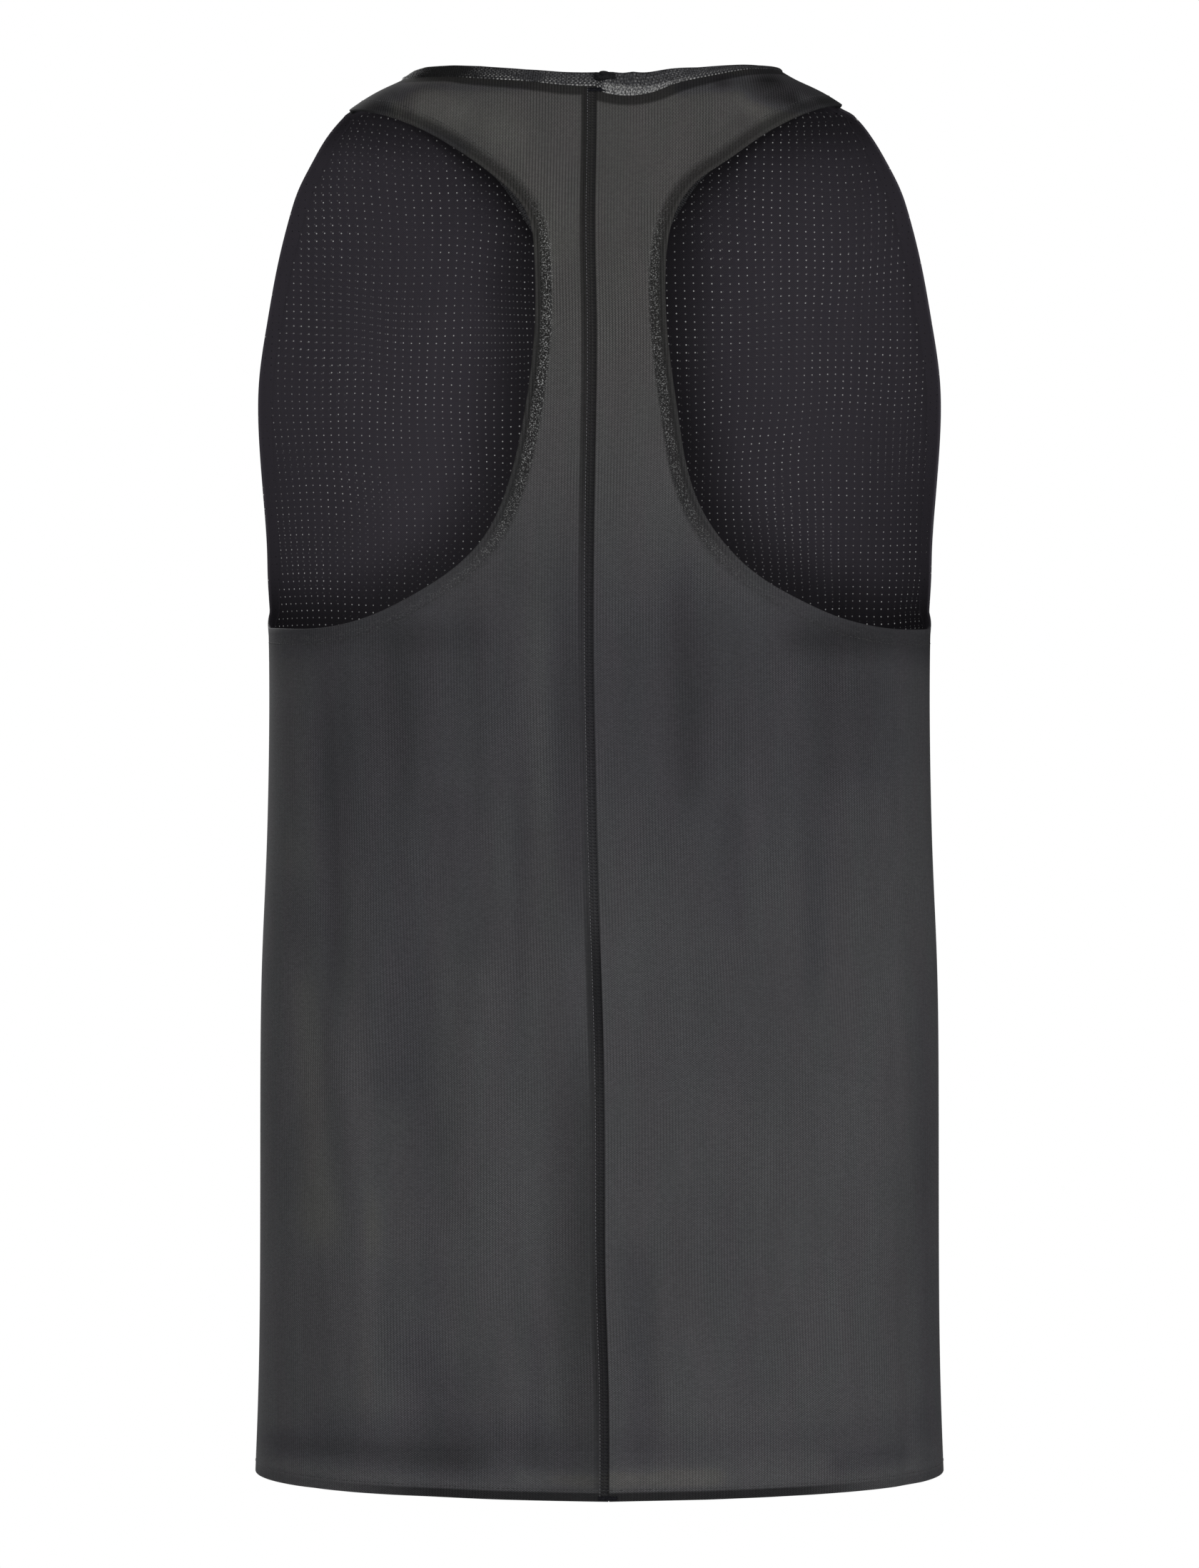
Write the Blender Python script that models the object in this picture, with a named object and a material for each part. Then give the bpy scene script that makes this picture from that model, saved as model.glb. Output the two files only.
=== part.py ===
"""Running singlet, filled out as if it were worn, with nobody in it.

The front is one panel of eyelet knit. The back is a racerback, cut as two panels of sheer mesh that
meet in a centre seam, and a band of the knit finishes the neck. The armholes and the hem are turned
to the inside and lie double. Metres, +Z up. The garment's front faces -Y, its back faces +Y and its
left side is at +X. The origin is midway between the two high points of the shoulders, where the
wearer carries it.
"""

import math

import bpy
import numpy as np

MM = 0.001

# Driving sizes, in millimetres.
CLOTH = 1.2  # wall of a single layer
DOUBLE = 2.3  # wall where an edge is turned in
SEAM_GAP = 0.3  # between pieces that are sewn together
ROUNDNESS = 2.3  # exponent of the level sections: 2 is an ellipse, more is fuller at the corners

HEM_LEVEL = -693.0  # at the sides
HEM_DIP = 4.4  # how much lower the hem hangs at the centre back and front
UNDERARM_LEVEL = -278.0
STRAP_LEVEL = {1: -21.5, -1: -19.0}  # outer end of the left and the right shoulder seam
NECK_POINT_LEVEL = {1: -7.5, -1: -4.0}  # neck end of each shoulder seam
SEAM_FORWARD = 8.0  # side and shoulder seams lie this far in front of the widest line

SIDE_ALLOWANCE = 8.0  # also the width of the armholes' turnings
CENTRE_ALLOWANCE = 7.0
HEM_TURNING = 6.0
TURNING_STEP = 1.2  # run of the step from double to single cloth

PANEL_COLUMNS = 11
BODY_ROWS = 13
BACK_ARMHOLE_ROWS = 19
BACK_YOKE_ROWS = 13
BACK_YOKE_SHARE = 0.76  # of the back armhole's length lies below the rows that end on the neck
BACK_CHEST_LEVEL = -455.0  # where the row from the underarm meets the centre seam
FRONT_ARMHOLE_ROWS = 13
FRONT_STRAP_ROWS = 14
FRONT_STRAP_SHARE = 0.5
FRONT_CHEST_LEVEL = -410.0
ROW_BOW = 0.35  # how far the rows beside the underarm bow
STRAP_BOW_FADE = 1.5  # how fast the bow goes out towards the neck
FOLD_FADE = 0.35  # share of a fold's length over which each end runs out
SEAM_CALM = 25.0  # distance from the side seams over which the folds run out

# The front's section is wider beside the armholes than the widest line. Levels and turns over which
# that comes in and goes out.
STRAP_FADE = 12.0
UNDERARM_FADE = 45.0
UNDERARM_FADE_BELOW = 36.0  # of which lies below the underarm
SIDE_FADE = 20.0  # degrees of turn from the side

FINE_STEPS = 400  # along a line whose length is measured
NEAREST_ROUNDS = 8

BAND_WALL = 1.8
BAND_ALLOWANCE = 5.5  # the band's own seam allowance, inside the panels
BAND_ALLOWANCE_WALL = 1.0
BAND_ALLOWANCE_LEAN = 0.9  # its lower edge lies this much deeper, as the panels curve away


def table(names, *rows):
    """A table as one array for each named column."""
    return {name: np.array(column, float) for name, column in zip(names.split(), zip(*rows))}


# The body at each level, from the shoulders down: half its width, and the depth of its back and of
# its front at the centre, from the plane of the widest line.
SECTIONS = table(
    "level half_width back front",
    (0.0, 85.0, 38.0, 30.0),
    (-3.0, 90.0, 46.0, 37.0),
    (-8.0, 98.5, 54.0, 46.0),
    (-12.0, 107.0, 59.0, 51.0),
    (-20.0, 120.8, 65.0, 59.0),
    (-31.0, 134.0, 71.0, 67.0),
    (-50.0, 143.8, 80.0, 78.0),
    (-75.0, 153.5, 90.0, 90.0),
    (-100.0, 160.0, 97.0, 99.0),
    (-150.0, 168.0, 105.0, 109.0),
    (-200.0, 167.3, 107.0, 116.0),
    (-278.0, 163.6, 104.0, 114.0),
    (-340.0, 163.4, 102.0, 111.5),
    (-400.0, 165.0, 100.0, 110.0),
    (-440.0, 166.7, 100.5, 110.5),
    (-500.0, 167.6, 102.0, 112.0),
    (-600.0, 167.8, 106.5, 116.0),
    (-650.0, 168.5, 109.5, 118.0),
    (-698.0, 170.2, 112.0, 120.0),
)

# Edge of the front armhole, from the underarm up to the strap: how far it lies in front of the
# widest line and out from the middle, and its level.
FRONT_ARMHOLE = table(
    "forward across level",
    (20.0, 164.3, -276.5),
    (33.0, 165.3, -269.0),
    (43.0, 166.1, -257.0),
    (50.0, 167.0, -240.0),
    (56.0, 169.3, -210.0),
    (59.0, 171.6, -180.0),
    (59.0, 171.5, -152.0),
    (57.0, 167.5, -124.0),
    (54.0, 162.5, -97.0),
    (47.5, 155.2, -69.0),
    (41.0, 149.2, -55.0),
    (32.0, 142.4, -42.0),
    (21.0, 133.6, -29.0),
)

# Edge of the back armhole, from the underarm up to the strap: its distance from the middle on the
# left and on the right side, and its level there.
BACK_ARMHOLE = {
    1: table(
        "across level",
        (154.0, -279.5),
        (135.0, -279.7),
        (113.0, -275.0),
        (91.5, -265.0),
        (70.0, -251.5),
        (55.5, -237.0),
        (45.0, -216.0),
        (36.5, -182.0),
        (31.0, -140.0),
        (31.0, -100.0),
        (34.5, -80.5),
        (47.0, -64.5),
        (62.0, -52.5),
        (78.0, -41.5),
        (97.0, -31.5),
        (112.0, -25.8),
    ),
    -1: table(
        "across level",
        (154.5, -280.0),
        (139.0, -279.7),
        (119.0, -275.7),
        (95.0, -266.0),
        (73.0, -252.8),
        (56.0, -235.0),
        (45.0, -215.0),
        (37.7, -181.0),
        (32.5, -142.0),
        (31.5, -105.0),
        (36.5, -79.0),
        (46.5, -64.2),
        (60.5, -54.0),
        (76.5, -41.8),
        (97.5, -29.0),
        (112.0, -22.5),
    ),
}

# Neck edge of each back panel, from the centre seam to the shoulder seam.
BACK_NECK = {
    1: table(
        "across level",
        (0.0, -16.5),
        (17.0, -16.0),
        (31.0, -14.2),
        (57.0, -11.7),
        (71.0, -10.0),
        (84.0, -9.0),
        (92.0, -8.5),
    ),
    -1: table(
        "across level",
        (0.0, -19.0),
        (9.0, -21.3),
        (18.0, -21.3),
        (27.0, -19.3),
        (35.0, -15.8),
        (49.0, -11.5),
        (65.0, -7.2),
        (77.5, -4.5),
    ),
}

# Neck edge of the front panel, a plain scoop, from its middle to the shoulder seam.
FRONT_NECK = table(
    "across level",
    (0.0, -84.0),
    (14.0, -82.0),
    (25.0, -76.0),
    (32.0, -67.0),
    (38.5, -56.5),
    (48.0, -44.0),
    (60.0, -34.0),
    (72.0, -25.5),
    (83.0, -17.5),
    (91.0, -12.0),
)

# The largest drapes: the upper and lower end of each, as places across the body and levels, how
# far it reaches to either side, and how far it stands out (or, below zero, lies in).
BACK_FOLDS = table(
    "upper_across upper_level lower_across lower_level reach height",
    (78.0, -300.0, 82.0, -560.0, 42.0, -4.5),
    (132.0, -340.0, 129.0, -460.0, 22.0, -2.2),
    (37.0, -355.0, 41.0, -490.0, 22.0, -2.2),
    (28.0, -262.0, 25.0, -400.0, 22.0, 2.0),
    (120.0, -460.0, 110.0, -650.0, 26.0, 2.6),
    (68.0, -620.0, 82.0, -692.0, 36.0, -3.5),
    (-41.0, -245.0, -45.0, -355.0, 24.0, -3.2),
    (-61.0, -350.0, -66.0, -430.0, 24.0, -2.4),
    (-108.0, -300.0, -103.0, -440.0, 26.0, -2.4),
    (-21.0, -585.0, -22.0, -680.0, 24.0, -2.4),
    (-82.0, -500.0, -79.0, -600.0, 30.0, -1.8),
    (-134.0, -480.0, -137.0, -650.0, 30.0, 2.2),
)
FRONT_FOLDS = table(
    "upper_across upper_level lower_across lower_level reach height",
    (66.0, -240.0, 84.0, -540.0, 40.0, -4.0),
    (-62.0, -255.0, -80.0, -580.0, 42.0, -3.6),
    (8.0, -320.0, -6.0, -610.0, 34.0, -2.8),
    (122.0, -330.0, 118.0, -520.0, 26.0, -2.4),
    (-125.0, -300.0, -117.0, -490.0, 26.0, -2.6),
    (46.0, -135.0, 60.0, -215.0, 26.0, -2.2),
    (-42.0, -140.0, -62.0, -225.0, 26.0, -1.8),
    (34.0, -560.0, 40.0, -692.0, 26.0, 2.4),
    (-44.0, -590.0, -38.0, -692.0, 26.0, 2.2),
)

# The centre back seam sways a little: its place across the body, towards the left side.
CENTRE_SEAM = table(
    "level across",
    (0.0, 2.0),
    (-100.0, 1.5),
    (-300.0, 2.0),
    (-430.0, 0.0),
    (-560.0, -2.5),
    (-700.0, -4.5),
)

# Height of the neckband above the seam, by share of the way round from the front's middle over the
# left shoulder, and how upright it stands there: 0 is in line with the cloth.
BAND = table(
    "share height stand",
    (0.0, 9.0, 0.2),
    (0.2, 8.0, 0.3),
    (0.27, 7.0, 0.6),
    (0.33, 6.3, 0.65),
    (0.4, 7.2, 0.65),
    (0.44, 6.7, 0.65),
    (0.5, 7.8, 0.65),
    (0.51, 11.6, 0.65),
    (0.535, 12.6, 0.65),
    (0.567, 9.0, 0.65),
    (0.595, 6.2, 0.65),
    (0.63, 4.1, 0.65),
    (0.66, 3.2, 0.65),
    (0.695, 2.8, 0.6),
    (0.72, 4.5, 0.5),
    (0.8, 7.5, 0.3),
    (1.0, 9.0, 0.2),
)

# Colours of the two cloths and of the band, as linear red, green and blue.
KNIT_COLOR = (0.016, 0.014, 0.018)
MESH_COLOR = (0.055, 0.053, 0.05)
BAND_COLOR = (0.022, 0.021, 0.022)
KNIT_ROUGHNESS = 0.8
MESH_ROUGHNESS = 0.7
BAND_ROUGHNESS = 0.75


def smooth(knots, values):
    """A function whose graph is a curve with no kinks through the given points."""
    order = np.argsort(knots)
    x, y = np.asarray(knots, float)[order], np.asarray(values, float)[order]
    step = np.diff(x)
    grid, pull = np.eye(len(x)), np.zeros(len(x))
    for i in range(1, len(x) - 1):
        grid[i, i - 1 : i + 2] = step[i - 1], 2 * (step[i - 1] + step[i]), step[i]
        pull[i] = 6 * ((y[i + 1] - y[i]) / step[i] - (y[i] - y[i - 1]) / step[i - 1])
    bend = np.linalg.solve(grid, pull)

    def read(at):
        at = np.clip(np.asarray(at, float), x[0], x[-1])
        i = np.clip(np.searchsorted(x, at, side="right") - 1, 0, len(x) - 2)
        low, high = x[i + 1] - at, at - x[i]
        return (
            (bend[i] * low**3 + bend[i + 1] * high**3) / (6 * step[i])
            + (y[i] / step[i] - bend[i] * step[i] / 6) * low
            + (y[i + 1] / step[i] - bend[i + 1] * step[i] / 6) * high
        )

    return read


half_width = smooth(SECTIONS["level"], SECTIONS["half_width"])
back_depth = smooth(SECTIONS["level"], SECTIONS["back"])
front_depth = smooth(SECTIONS["level"], SECTIONS["front"])
seam_across = smooth(CENTRE_SEAM["level"], CENTRE_SEAM["across"])
armhole_forward = smooth(FRONT_ARMHOLE["level"][1:], FRONT_ARMHOLE["forward"][1:])
armhole_across = smooth(FRONT_ARMHOLE["level"][1:], FRONT_ARMHOLE["across"][1:])


def soft_step(share):
    """0 below 0, 1 above 1, and a soft rise between."""
    share = np.clip(share, 0.0, 1.0)
    return share * share * (3 - 2 * share)


def other_share(share):
    """The depth share of a section's point that lies at an across share, and the other way round."""
    return (1 - np.clip(np.abs(share), 0, 1) ** ROUNDNESS) ** (1 / ROUNDNESS)


def front_widening(level):
    """How much wider the front's own section is beside the armhole than the widest line."""
    edge_share = other_share(armhole_forward(level) / front_depth(level))
    full = armhole_across(level) / half_width(level) / edge_share
    above = soft_step((STRAP_LEVEL[1] - level) / STRAP_FADE)
    below = soft_step((level - UNDERARM_LEVEL + UNDERARM_FADE_BELOW) / UNDERARM_FADE)
    return 1 + (full - 1) * above * below


def section(side, turn, level):
    """A point of the plain form. The turn is 90 at the centre back, 0 at the side, -90 in front."""
    across, depth = np.cos(np.radians(turn)), np.sin(np.radians(turn))
    size = (np.abs(across) ** ROUNDNESS + np.abs(depth) ** ROUNDNESS) ** (-1 / ROUNDNESS)
    width = half_width(level) * (1 + (front_widening(level) - 1) * soft_step(-turn / SIDE_FADE))
    reach = np.where(depth > 0, back_depth(level), front_depth(level))
    return np.stack([side * width * across * size, reach * depth * size, level + 0 * size], -1)


def normal(side, turn, level, reach=0.4):
    """Unit normal of the plain form, pointing away from the body."""
    round_it = section(side, turn + reach, level) - section(side, turn - reach, level)
    up = section(side, turn, level + reach) - section(side, turn, level - reach)
    out = side * np.cross(round_it, up)
    return out / np.linalg.norm(out, axis=-1, keepdims=True)


def drape(points, folds):
    """How far the folds move each point of the plain form out of it."""
    moved = np.zeros(points.shape[:-1])
    place = points[..., [0, 2]]
    for i in range(len(folds["reach"])):
        upper = np.array([folds["upper_across"][i], folds["upper_level"][i]])
        lower = np.array([folds["lower_across"][i], folds["lower_level"][i]])
        run = lower - upper
        share = ((place - upper) @ run) / (run @ run)
        aside = np.linalg.norm(place - upper - share[..., None] * run, axis=-1)
        ends = soft_step((share + FOLD_FADE) / FOLD_FADE) * soft_step((1 + FOLD_FADE - share) / FOLD_FADE)
        moved += folds["height"][i] * ends * soft_step(1 - aside / folds["reach"][i])
    return moved


def cloth(side, turn, level):
    """A point of the cloth's outer face."""
    plain = section(side, turn, level)
    seam_fade = soft_step((np.abs(plain[..., 1]) - SEAM_FORWARD) / SEAM_CALM)
    moved = np.where(plain[..., 1] > 0, drape(plain, BACK_FOLDS), drape(plain, FRONT_FOLDS))
    return plain + normal(side, turn, level) * (moved * seam_fade)[..., None]


def turn_at_forward(forward, level):
    """The turn of a point that lies so far in front of the widest line."""
    share = forward / front_depth(level)
    return -np.degrees(np.arctan2(share, other_share(share)))


def turn_at_across(across, level):
    """The turn of a point of the back that lies so far from the middle."""
    share = across / half_width(level)
    return np.degrees(np.arctan2(other_share(share), share))


def front_turn_at_across(across, level):
    share = across / (half_width(level) * front_widening(level))
    return -np.degrees(np.arctan2(other_share(share), share))


def lengths(points):
    """Length along a line of points, from its start to each of them."""
    return np.concatenate([[0], np.cumsum(np.linalg.norm(np.diff(points, axis=0), axis=1))])


def edge_line(side, turns, levels, shares):
    """Places at the given shares of the length of a smooth line through the knots."""
    chord = lengths(section(side, turns, levels))
    turn_of, level_of = smooth(chord, turns), smooth(chord, levels)
    fine = np.linspace(0, chord[-1], FINE_STEPS)
    length = lengths(section(side, turn_of(fine), level_of(fine)))
    at = np.interp(np.asarray(shares) * length[-1], length, fine)
    return np.stack([turn_of(at), level_of(at)], -1)


def two_stretches(split, lower_rows, upper_rows):
    """Shares of a length, in even steps up to the split and in even steps above it."""
    lower, upper = np.linspace(0, split, lower_rows + 1), np.linspace(split, 1, upper_rows + 1)
    return np.concatenate([lower, upper[1:]])


def body_levels(hem, top):
    """Levels of the rows from the hem up, with the hem's turning first."""
    single = np.linspace(hem + HEM_TURNING + TURNING_STEP, top, BODY_ROWS + 1)
    return np.concatenate([[hem, hem + HEM_TURNING], single])


def side_seam(forward):
    levels = body_levels(HEM_LEVEL, UNDERARM_LEVEL)
    return np.stack([turn_at_forward(forward, levels), levels], -1)


def back_outer_rail(side):
    """Side seam and back armhole, from the hem up to the strap."""
    forward = SEAM_FORWARD - SEAM_GAP / 2
    ends = np.array([UNDERARM_LEVEL, STRAP_LEVEL[side]])
    low, high = turn_at_forward(forward, ends)
    edge = BACK_ARMHOLE[side]
    turns = turn_at_across(edge["across"], edge["level"])
    armhole = edge_line(
        side,
        np.concatenate([[low], turns, [high]]),
        np.concatenate([ends[:1], edge["level"], ends[1:]]),
        two_stretches(BACK_YOKE_SHARE, BACK_ARMHOLE_ROWS, BACK_YOKE_ROWS),
    )
    return np.concatenate([side_seam(forward), armhole[1:]])


def back_inner_rail(side):
    """Centre seam and back neck edge, from the hem up to the shoulder seam."""
    neck = BACK_NECK[side]
    gap = SEAM_GAP / 2
    body = body_levels(HEM_LEVEL - HEM_DIP, BACK_CHEST_LEVEL)
    upper = np.linspace(BACK_CHEST_LEVEL, neck["level"][0], BACK_ARMHOLE_ROWS + 1)
    levels = np.concatenate([body, upper[1:]])
    centre = np.stack([turn_at_across(side * seam_across(levels) + gap, levels), levels], -1)
    turns = turn_at_across(neck["across"][1:], neck["level"][1:])
    point = turn_at_forward(SEAM_FORWARD - gap, NECK_POINT_LEVEL[side])
    edge = edge_line(
        side,
        np.concatenate([centre[-1:, 0], turns, [point]]),
        np.concatenate([neck["level"], [NECK_POINT_LEVEL[side]]]),
        np.linspace(0, 1, BACK_YOKE_ROWS + 1),
    )
    return np.concatenate([centre, edge[1:]])


def front_outer_rail(side):
    """Side seam and front armhole, from the hem up to the strap."""
    forward = SEAM_FORWARD + SEAM_GAP / 2
    edge = FRONT_ARMHOLE
    ahead = np.concatenate([[forward], edge["forward"], [forward]])
    levels = np.concatenate([[UNDERARM_LEVEL], edge["level"], [STRAP_LEVEL[side]]])
    armhole = edge_line(
        side,
        turn_at_forward(ahead, levels),
        levels,
        two_stretches(FRONT_STRAP_SHARE, FRONT_ARMHOLE_ROWS, FRONT_STRAP_ROWS),
    )
    return np.concatenate([side_seam(forward), armhole[1:]])


def front_inner_rail(side):
    """Centre line and front neck edge, from the hem up to the shoulder seam."""
    neck = FRONT_NECK
    body = body_levels(HEM_LEVEL - HEM_DIP, FRONT_CHEST_LEVEL)
    upper = np.linspace(FRONT_CHEST_LEVEL, neck["level"][0], FRONT_ARMHOLE_ROWS + 1)
    levels = np.concatenate([body, upper[1:]])
    centre = np.stack([np.full(len(levels), -90.0), levels], -1)
    turns = front_turn_at_across(neck["across"], neck["level"])
    point = turn_at_forward(SEAM_FORWARD + SEAM_GAP / 2, NECK_POINT_LEVEL[side])
    edge = edge_line(
        side,
        np.concatenate([turns, [point]]),
        np.concatenate([neck["level"], [NECK_POINT_LEVEL[side]]]),
        np.linspace(0, 1, FRONT_STRAP_ROWS + 1),
    )
    return np.concatenate([centre, edge[1:]])


def bowed(start, end, share, bow):
    """Places on a row, which climbs toward the outer rail the more it bows."""
    level_share = share + bow * (1 - share) * share
    return start + (end - start) * np.stack([share, level_share], -1)


def unit(vectors):
    return vectors / np.linalg.norm(vectors, axis=-1, keepdims=True)


def nearest(side, places, targets):
    """Turns and levels of the form's points nearest to the targets, from places close to them."""
    tiny = 0.05
    for _ in range(NEAREST_ROUNDS):
        turn, level = places[:, 0], places[:, 1]
        by_turn = section(side, turn + tiny, level) - section(side, turn - tiny, level)
        by_level = section(side, turn, level + tiny) - section(side, turn, level - tiny)
        slope = np.stack([by_turn, by_level], -1) / (2 * tiny)
        away = targets - section(side, turn, level)
        square = np.einsum("nki,nkj->nij", slope, slope)
        pull = np.einsum("nki,nk->ni", slope, away)
        places = places + np.linalg.solve(square, pull[..., None])[..., 0]
    return places


def inset(side, rail, other, width):
    """The rail moved into the panel by a width, mitred where it turns a corner."""
    points = section(side, rail[:, 0], rail[:, 1])
    out = normal(side, rail[:, 0], rail[:, 1])
    steps = unit(np.diff(points, axis=0))
    before = unit(np.cross(out, np.concatenate([steps[:1], steps])))
    after = unit(np.cross(out, np.concatenate([steps, steps[-1:]])))
    mitre = (before + after) / (1 + np.sum(before * after, axis=-1, keepdims=True))
    across = section(side, other[:, 0], other[:, 1]) - points
    inward = np.sign(np.sum(mitre * across))
    return nearest(side, rail, points + mitre * width * inward)


def on_row(side, start, end, distance):
    """The place on a straight row that lies so far from its start."""
    share = np.linspace(0, 1, FINE_STEPS)
    way = bowed(start, end, share, 0)
    length = lengths(section(side, way[:, 0], way[:, 1]))
    return way[np.searchsorted(length, distance)]


def row_bows(neck_row, rows):
    """How much each row bows: not at the hem or in the strap, and fully beside the underarm."""
    row = np.arange(rows)
    underarm = 2 + BODY_ROWS
    rise = soft_step(row / underarm)
    fall = soft_step((neck_row - row) / (neck_row - underarm) * STRAP_BOW_FADE)
    return ROW_BOW * np.where(row < underarm, rise, fall)


def net(side, outer, inner, bows):
    """A panel's points, as turn and level: in each row, from the outer rail to the inner rail.

    The first columns keep to the outer rail's turning, and the last ones to the inner rail's.
    """
    columns = [outer]
    for width in (SIDE_ALLOWANCE, SIDE_ALLOWANCE + TURNING_STEP):
        columns.append(end_rows(side, inset(side, outer, inner, width), outer, inner, width))
    far_columns = [inner]
    for width in (CENTRE_ALLOWANCE, CENTRE_ALLOWANCE + TURNING_STEP):
        far_columns.append(end_rows(side, inset(side, inner, outer, width), inner, outer, width))
    share = np.linspace(0, 1, FINE_STEPS)
    middle = []
    for start, end, bow in zip(columns[-1], far_columns[-1], bows):
        way = bowed(start, end, share, bow)
        length = lengths(section(side, way[:, 0], way[:, 1]))
        even = np.linspace(0, length[-1], PANEL_COLUMNS + 1)[1:-1]
        middle.append(bowed(start, end, np.interp(even, length, share), bow))
    columns = np.stack(columns, 1)
    far_columns = np.stack(far_columns[::-1], 1)
    return np.concatenate([columns, np.array(middle), far_columns], 1)


def end_rows(side, moved, rail, other, width):
    """Keeps the points of the first and last row on the hem and on the shoulder seam."""
    for row in (0, -1):
        moved[row] = on_row(side, rail[row], other[row], width)
    return moved


def wall_thickness(shape, neck_row, centre_is_double):
    """Thickness at each point of a panel's net: double at its turned or allowed edges."""
    wall = np.full(shape, CLOTH)
    wall[:2] = DOUBLE
    wall[:, :2] = DOUBLE
    if centre_is_double:
        wall[: neck_row + 1, -2:] = DOUBLE
    return wall


def panel_half(side, outer, inner, neck_row, centre_is_double):
    """Outer points, inner points and three-cornered faces of one side's net."""
    places = net(side, outer, inner, row_bows(neck_row, len(outer)))
    turns, levels = places[..., 0], places[..., 1]
    wall = wall_thickness(turns.shape, neck_row, centre_is_double)
    face = cloth(side, turns, levels)
    back = face - normal(side, turns, levels) * wall[..., None]
    rows, columns = turns.shape
    number = np.arange(rows * columns).reshape(rows, columns)
    quads = np.stack([number[:-1, :-1], number[:-1, 1:], number[1:, 1:], number[1:, :-1]], -1)
    quads = quads.reshape(-1, 4)
    toward_back = inner[0, 0] > outer[0, 0]
    if toward_back == (side < 0):
        quads = quads[:, ::-1]
    face = face.reshape(-1, 3)
    return face, back.reshape(-1, 3), split_at_shorter_diagonal(face, quads)


def split_at_shorter_diagonal(points, quads):
    """Two triangles for each quad, so that a wall's two faces bend along the same lines."""
    a, b, c, d = quads.T
    first = np.linalg.norm(points[a] - points[c], axis=-1)
    second = np.linalg.norm(points[b] - points[d], axis=-1)
    a, b, c, d = np.where(first <= second, (a, b, c, d), (b, c, d, a))
    return np.concatenate([np.stack([a, b, c], -1), np.stack([a, c, d], -1)])


def closed_wall(name, face, back, triangles, material):
    """An object whose two faces are joined round every free edge."""
    count = len(face)
    faces = triangles.tolist()
    sides = {(t[i], t[(i + 1) % 3]) for t in faces for i in range(3)}
    free = [(a, b) for a, b in sides if (b, a) not in sides]
    faces += [[i + count for i in reversed(t)] for t in faces]
    faces += [[b, a, a + count, b + count] for a, b in sorted(free)]
    return solid(name, np.concatenate([face, back]), faces, material)


def solid(name, points, faces, material):
    mesh = bpy.data.meshes.new(name)
    mesh.from_pydata((points * MM).tolist(), [], faces)
    mesh.materials.append(material)
    mesh.shade_smooth()
    mesh.set_sharp_from_angle(angle=math.radians(50))
    thing = bpy.data.objects.new(name, mesh)
    bpy.context.collection.objects.link(thing)
    return thing


def cloth_material(name, color, roughness):
    material = bpy.data.materials.new(name)
    material.use_nodes = True
    shader = material.node_tree.nodes["Principled BSDF"]
    shader.inputs["Base Color"].default_value = (*color, 1)
    shader.inputs["Roughness"].default_value = roughness
    shader.inputs["Metallic"].default_value = 0
    return material


def make_back_panel(side):
    """Half of the racerback, from the centre seam to the side seam and the armhole."""
    neck_row = 2 + BODY_ROWS + BACK_ARMHOLE_ROWS
    left = side > 0
    face, back, triangles = panel_half(
        side, back_outer_rail(side), back_inner_rail(side), neck_row, left
    )
    name = "back_panel_left" if left else "back_panel_right"
    material = cloth_material(name, MESH_COLOR, MESH_ROUGHNESS)
    return closed_wall(name, face, back, triangles, material)


def make_front_panel():
    """The whole front: two mirrored nets that share the centre line below the neck."""
    neck_row = 2 + BODY_ROWS + FRONT_ARMHOLE_ROWS
    left, right = (
        panel_half(side, front_outer_rail(side), front_inner_rail(side), neck_row, False)
        for side in (1, -1)
    )
    count = len(left[0])
    face, back = np.concatenate([left[0], right[0]]), np.concatenate([left[1], right[1]])
    columns = count // (neck_row + 1 + FRONT_STRAP_ROWS)
    shared = np.arange(2 * count)
    middle = np.arange(1, neck_row + 2) * columns - 1
    shared[middle + count] = middle
    triangles = shared[np.concatenate([left[2], right[2] + count])]
    kept, triangles = np.unique(triangles, return_inverse=True)
    material = cloth_material("front_panel", KNIT_COLOR, KNIT_ROUGHNESS)
    return closed_wall("front_panel", face[kept], back[kept], triangles.reshape(-1, 3), material)


def neck_stations():
    """Places round the neck, from the left side's front over the back to the right side's front.

    Each is a side, a turn, a level and the band's height there. They stand on the panels' own edge
    points, so that the band runs beside every edge at one distance.
    """
    back_row = 2 + BODY_ROWS + BACK_ARMHOLE_ROWS
    front_row = 2 + BODY_ROWS + FRONT_ARMHOLE_ROWS
    round_left, round_right = [], []
    for side, places in ((1, round_left), (-1, round_right)):
        front = front_inner_rail(side)[front_row:-1]
        point = NECK_POINT_LEVEL[side]
        shoulder = [[turn_at_forward(SEAM_FORWARD, point), point]]
        back = back_inner_rail(side)[back_row:-1][::-1]
        for turn, level in np.concatenate([front, shoulder, back]):
            places.append((side, turn, level))
    return round_left + round_right[::-1][:-1]


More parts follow.
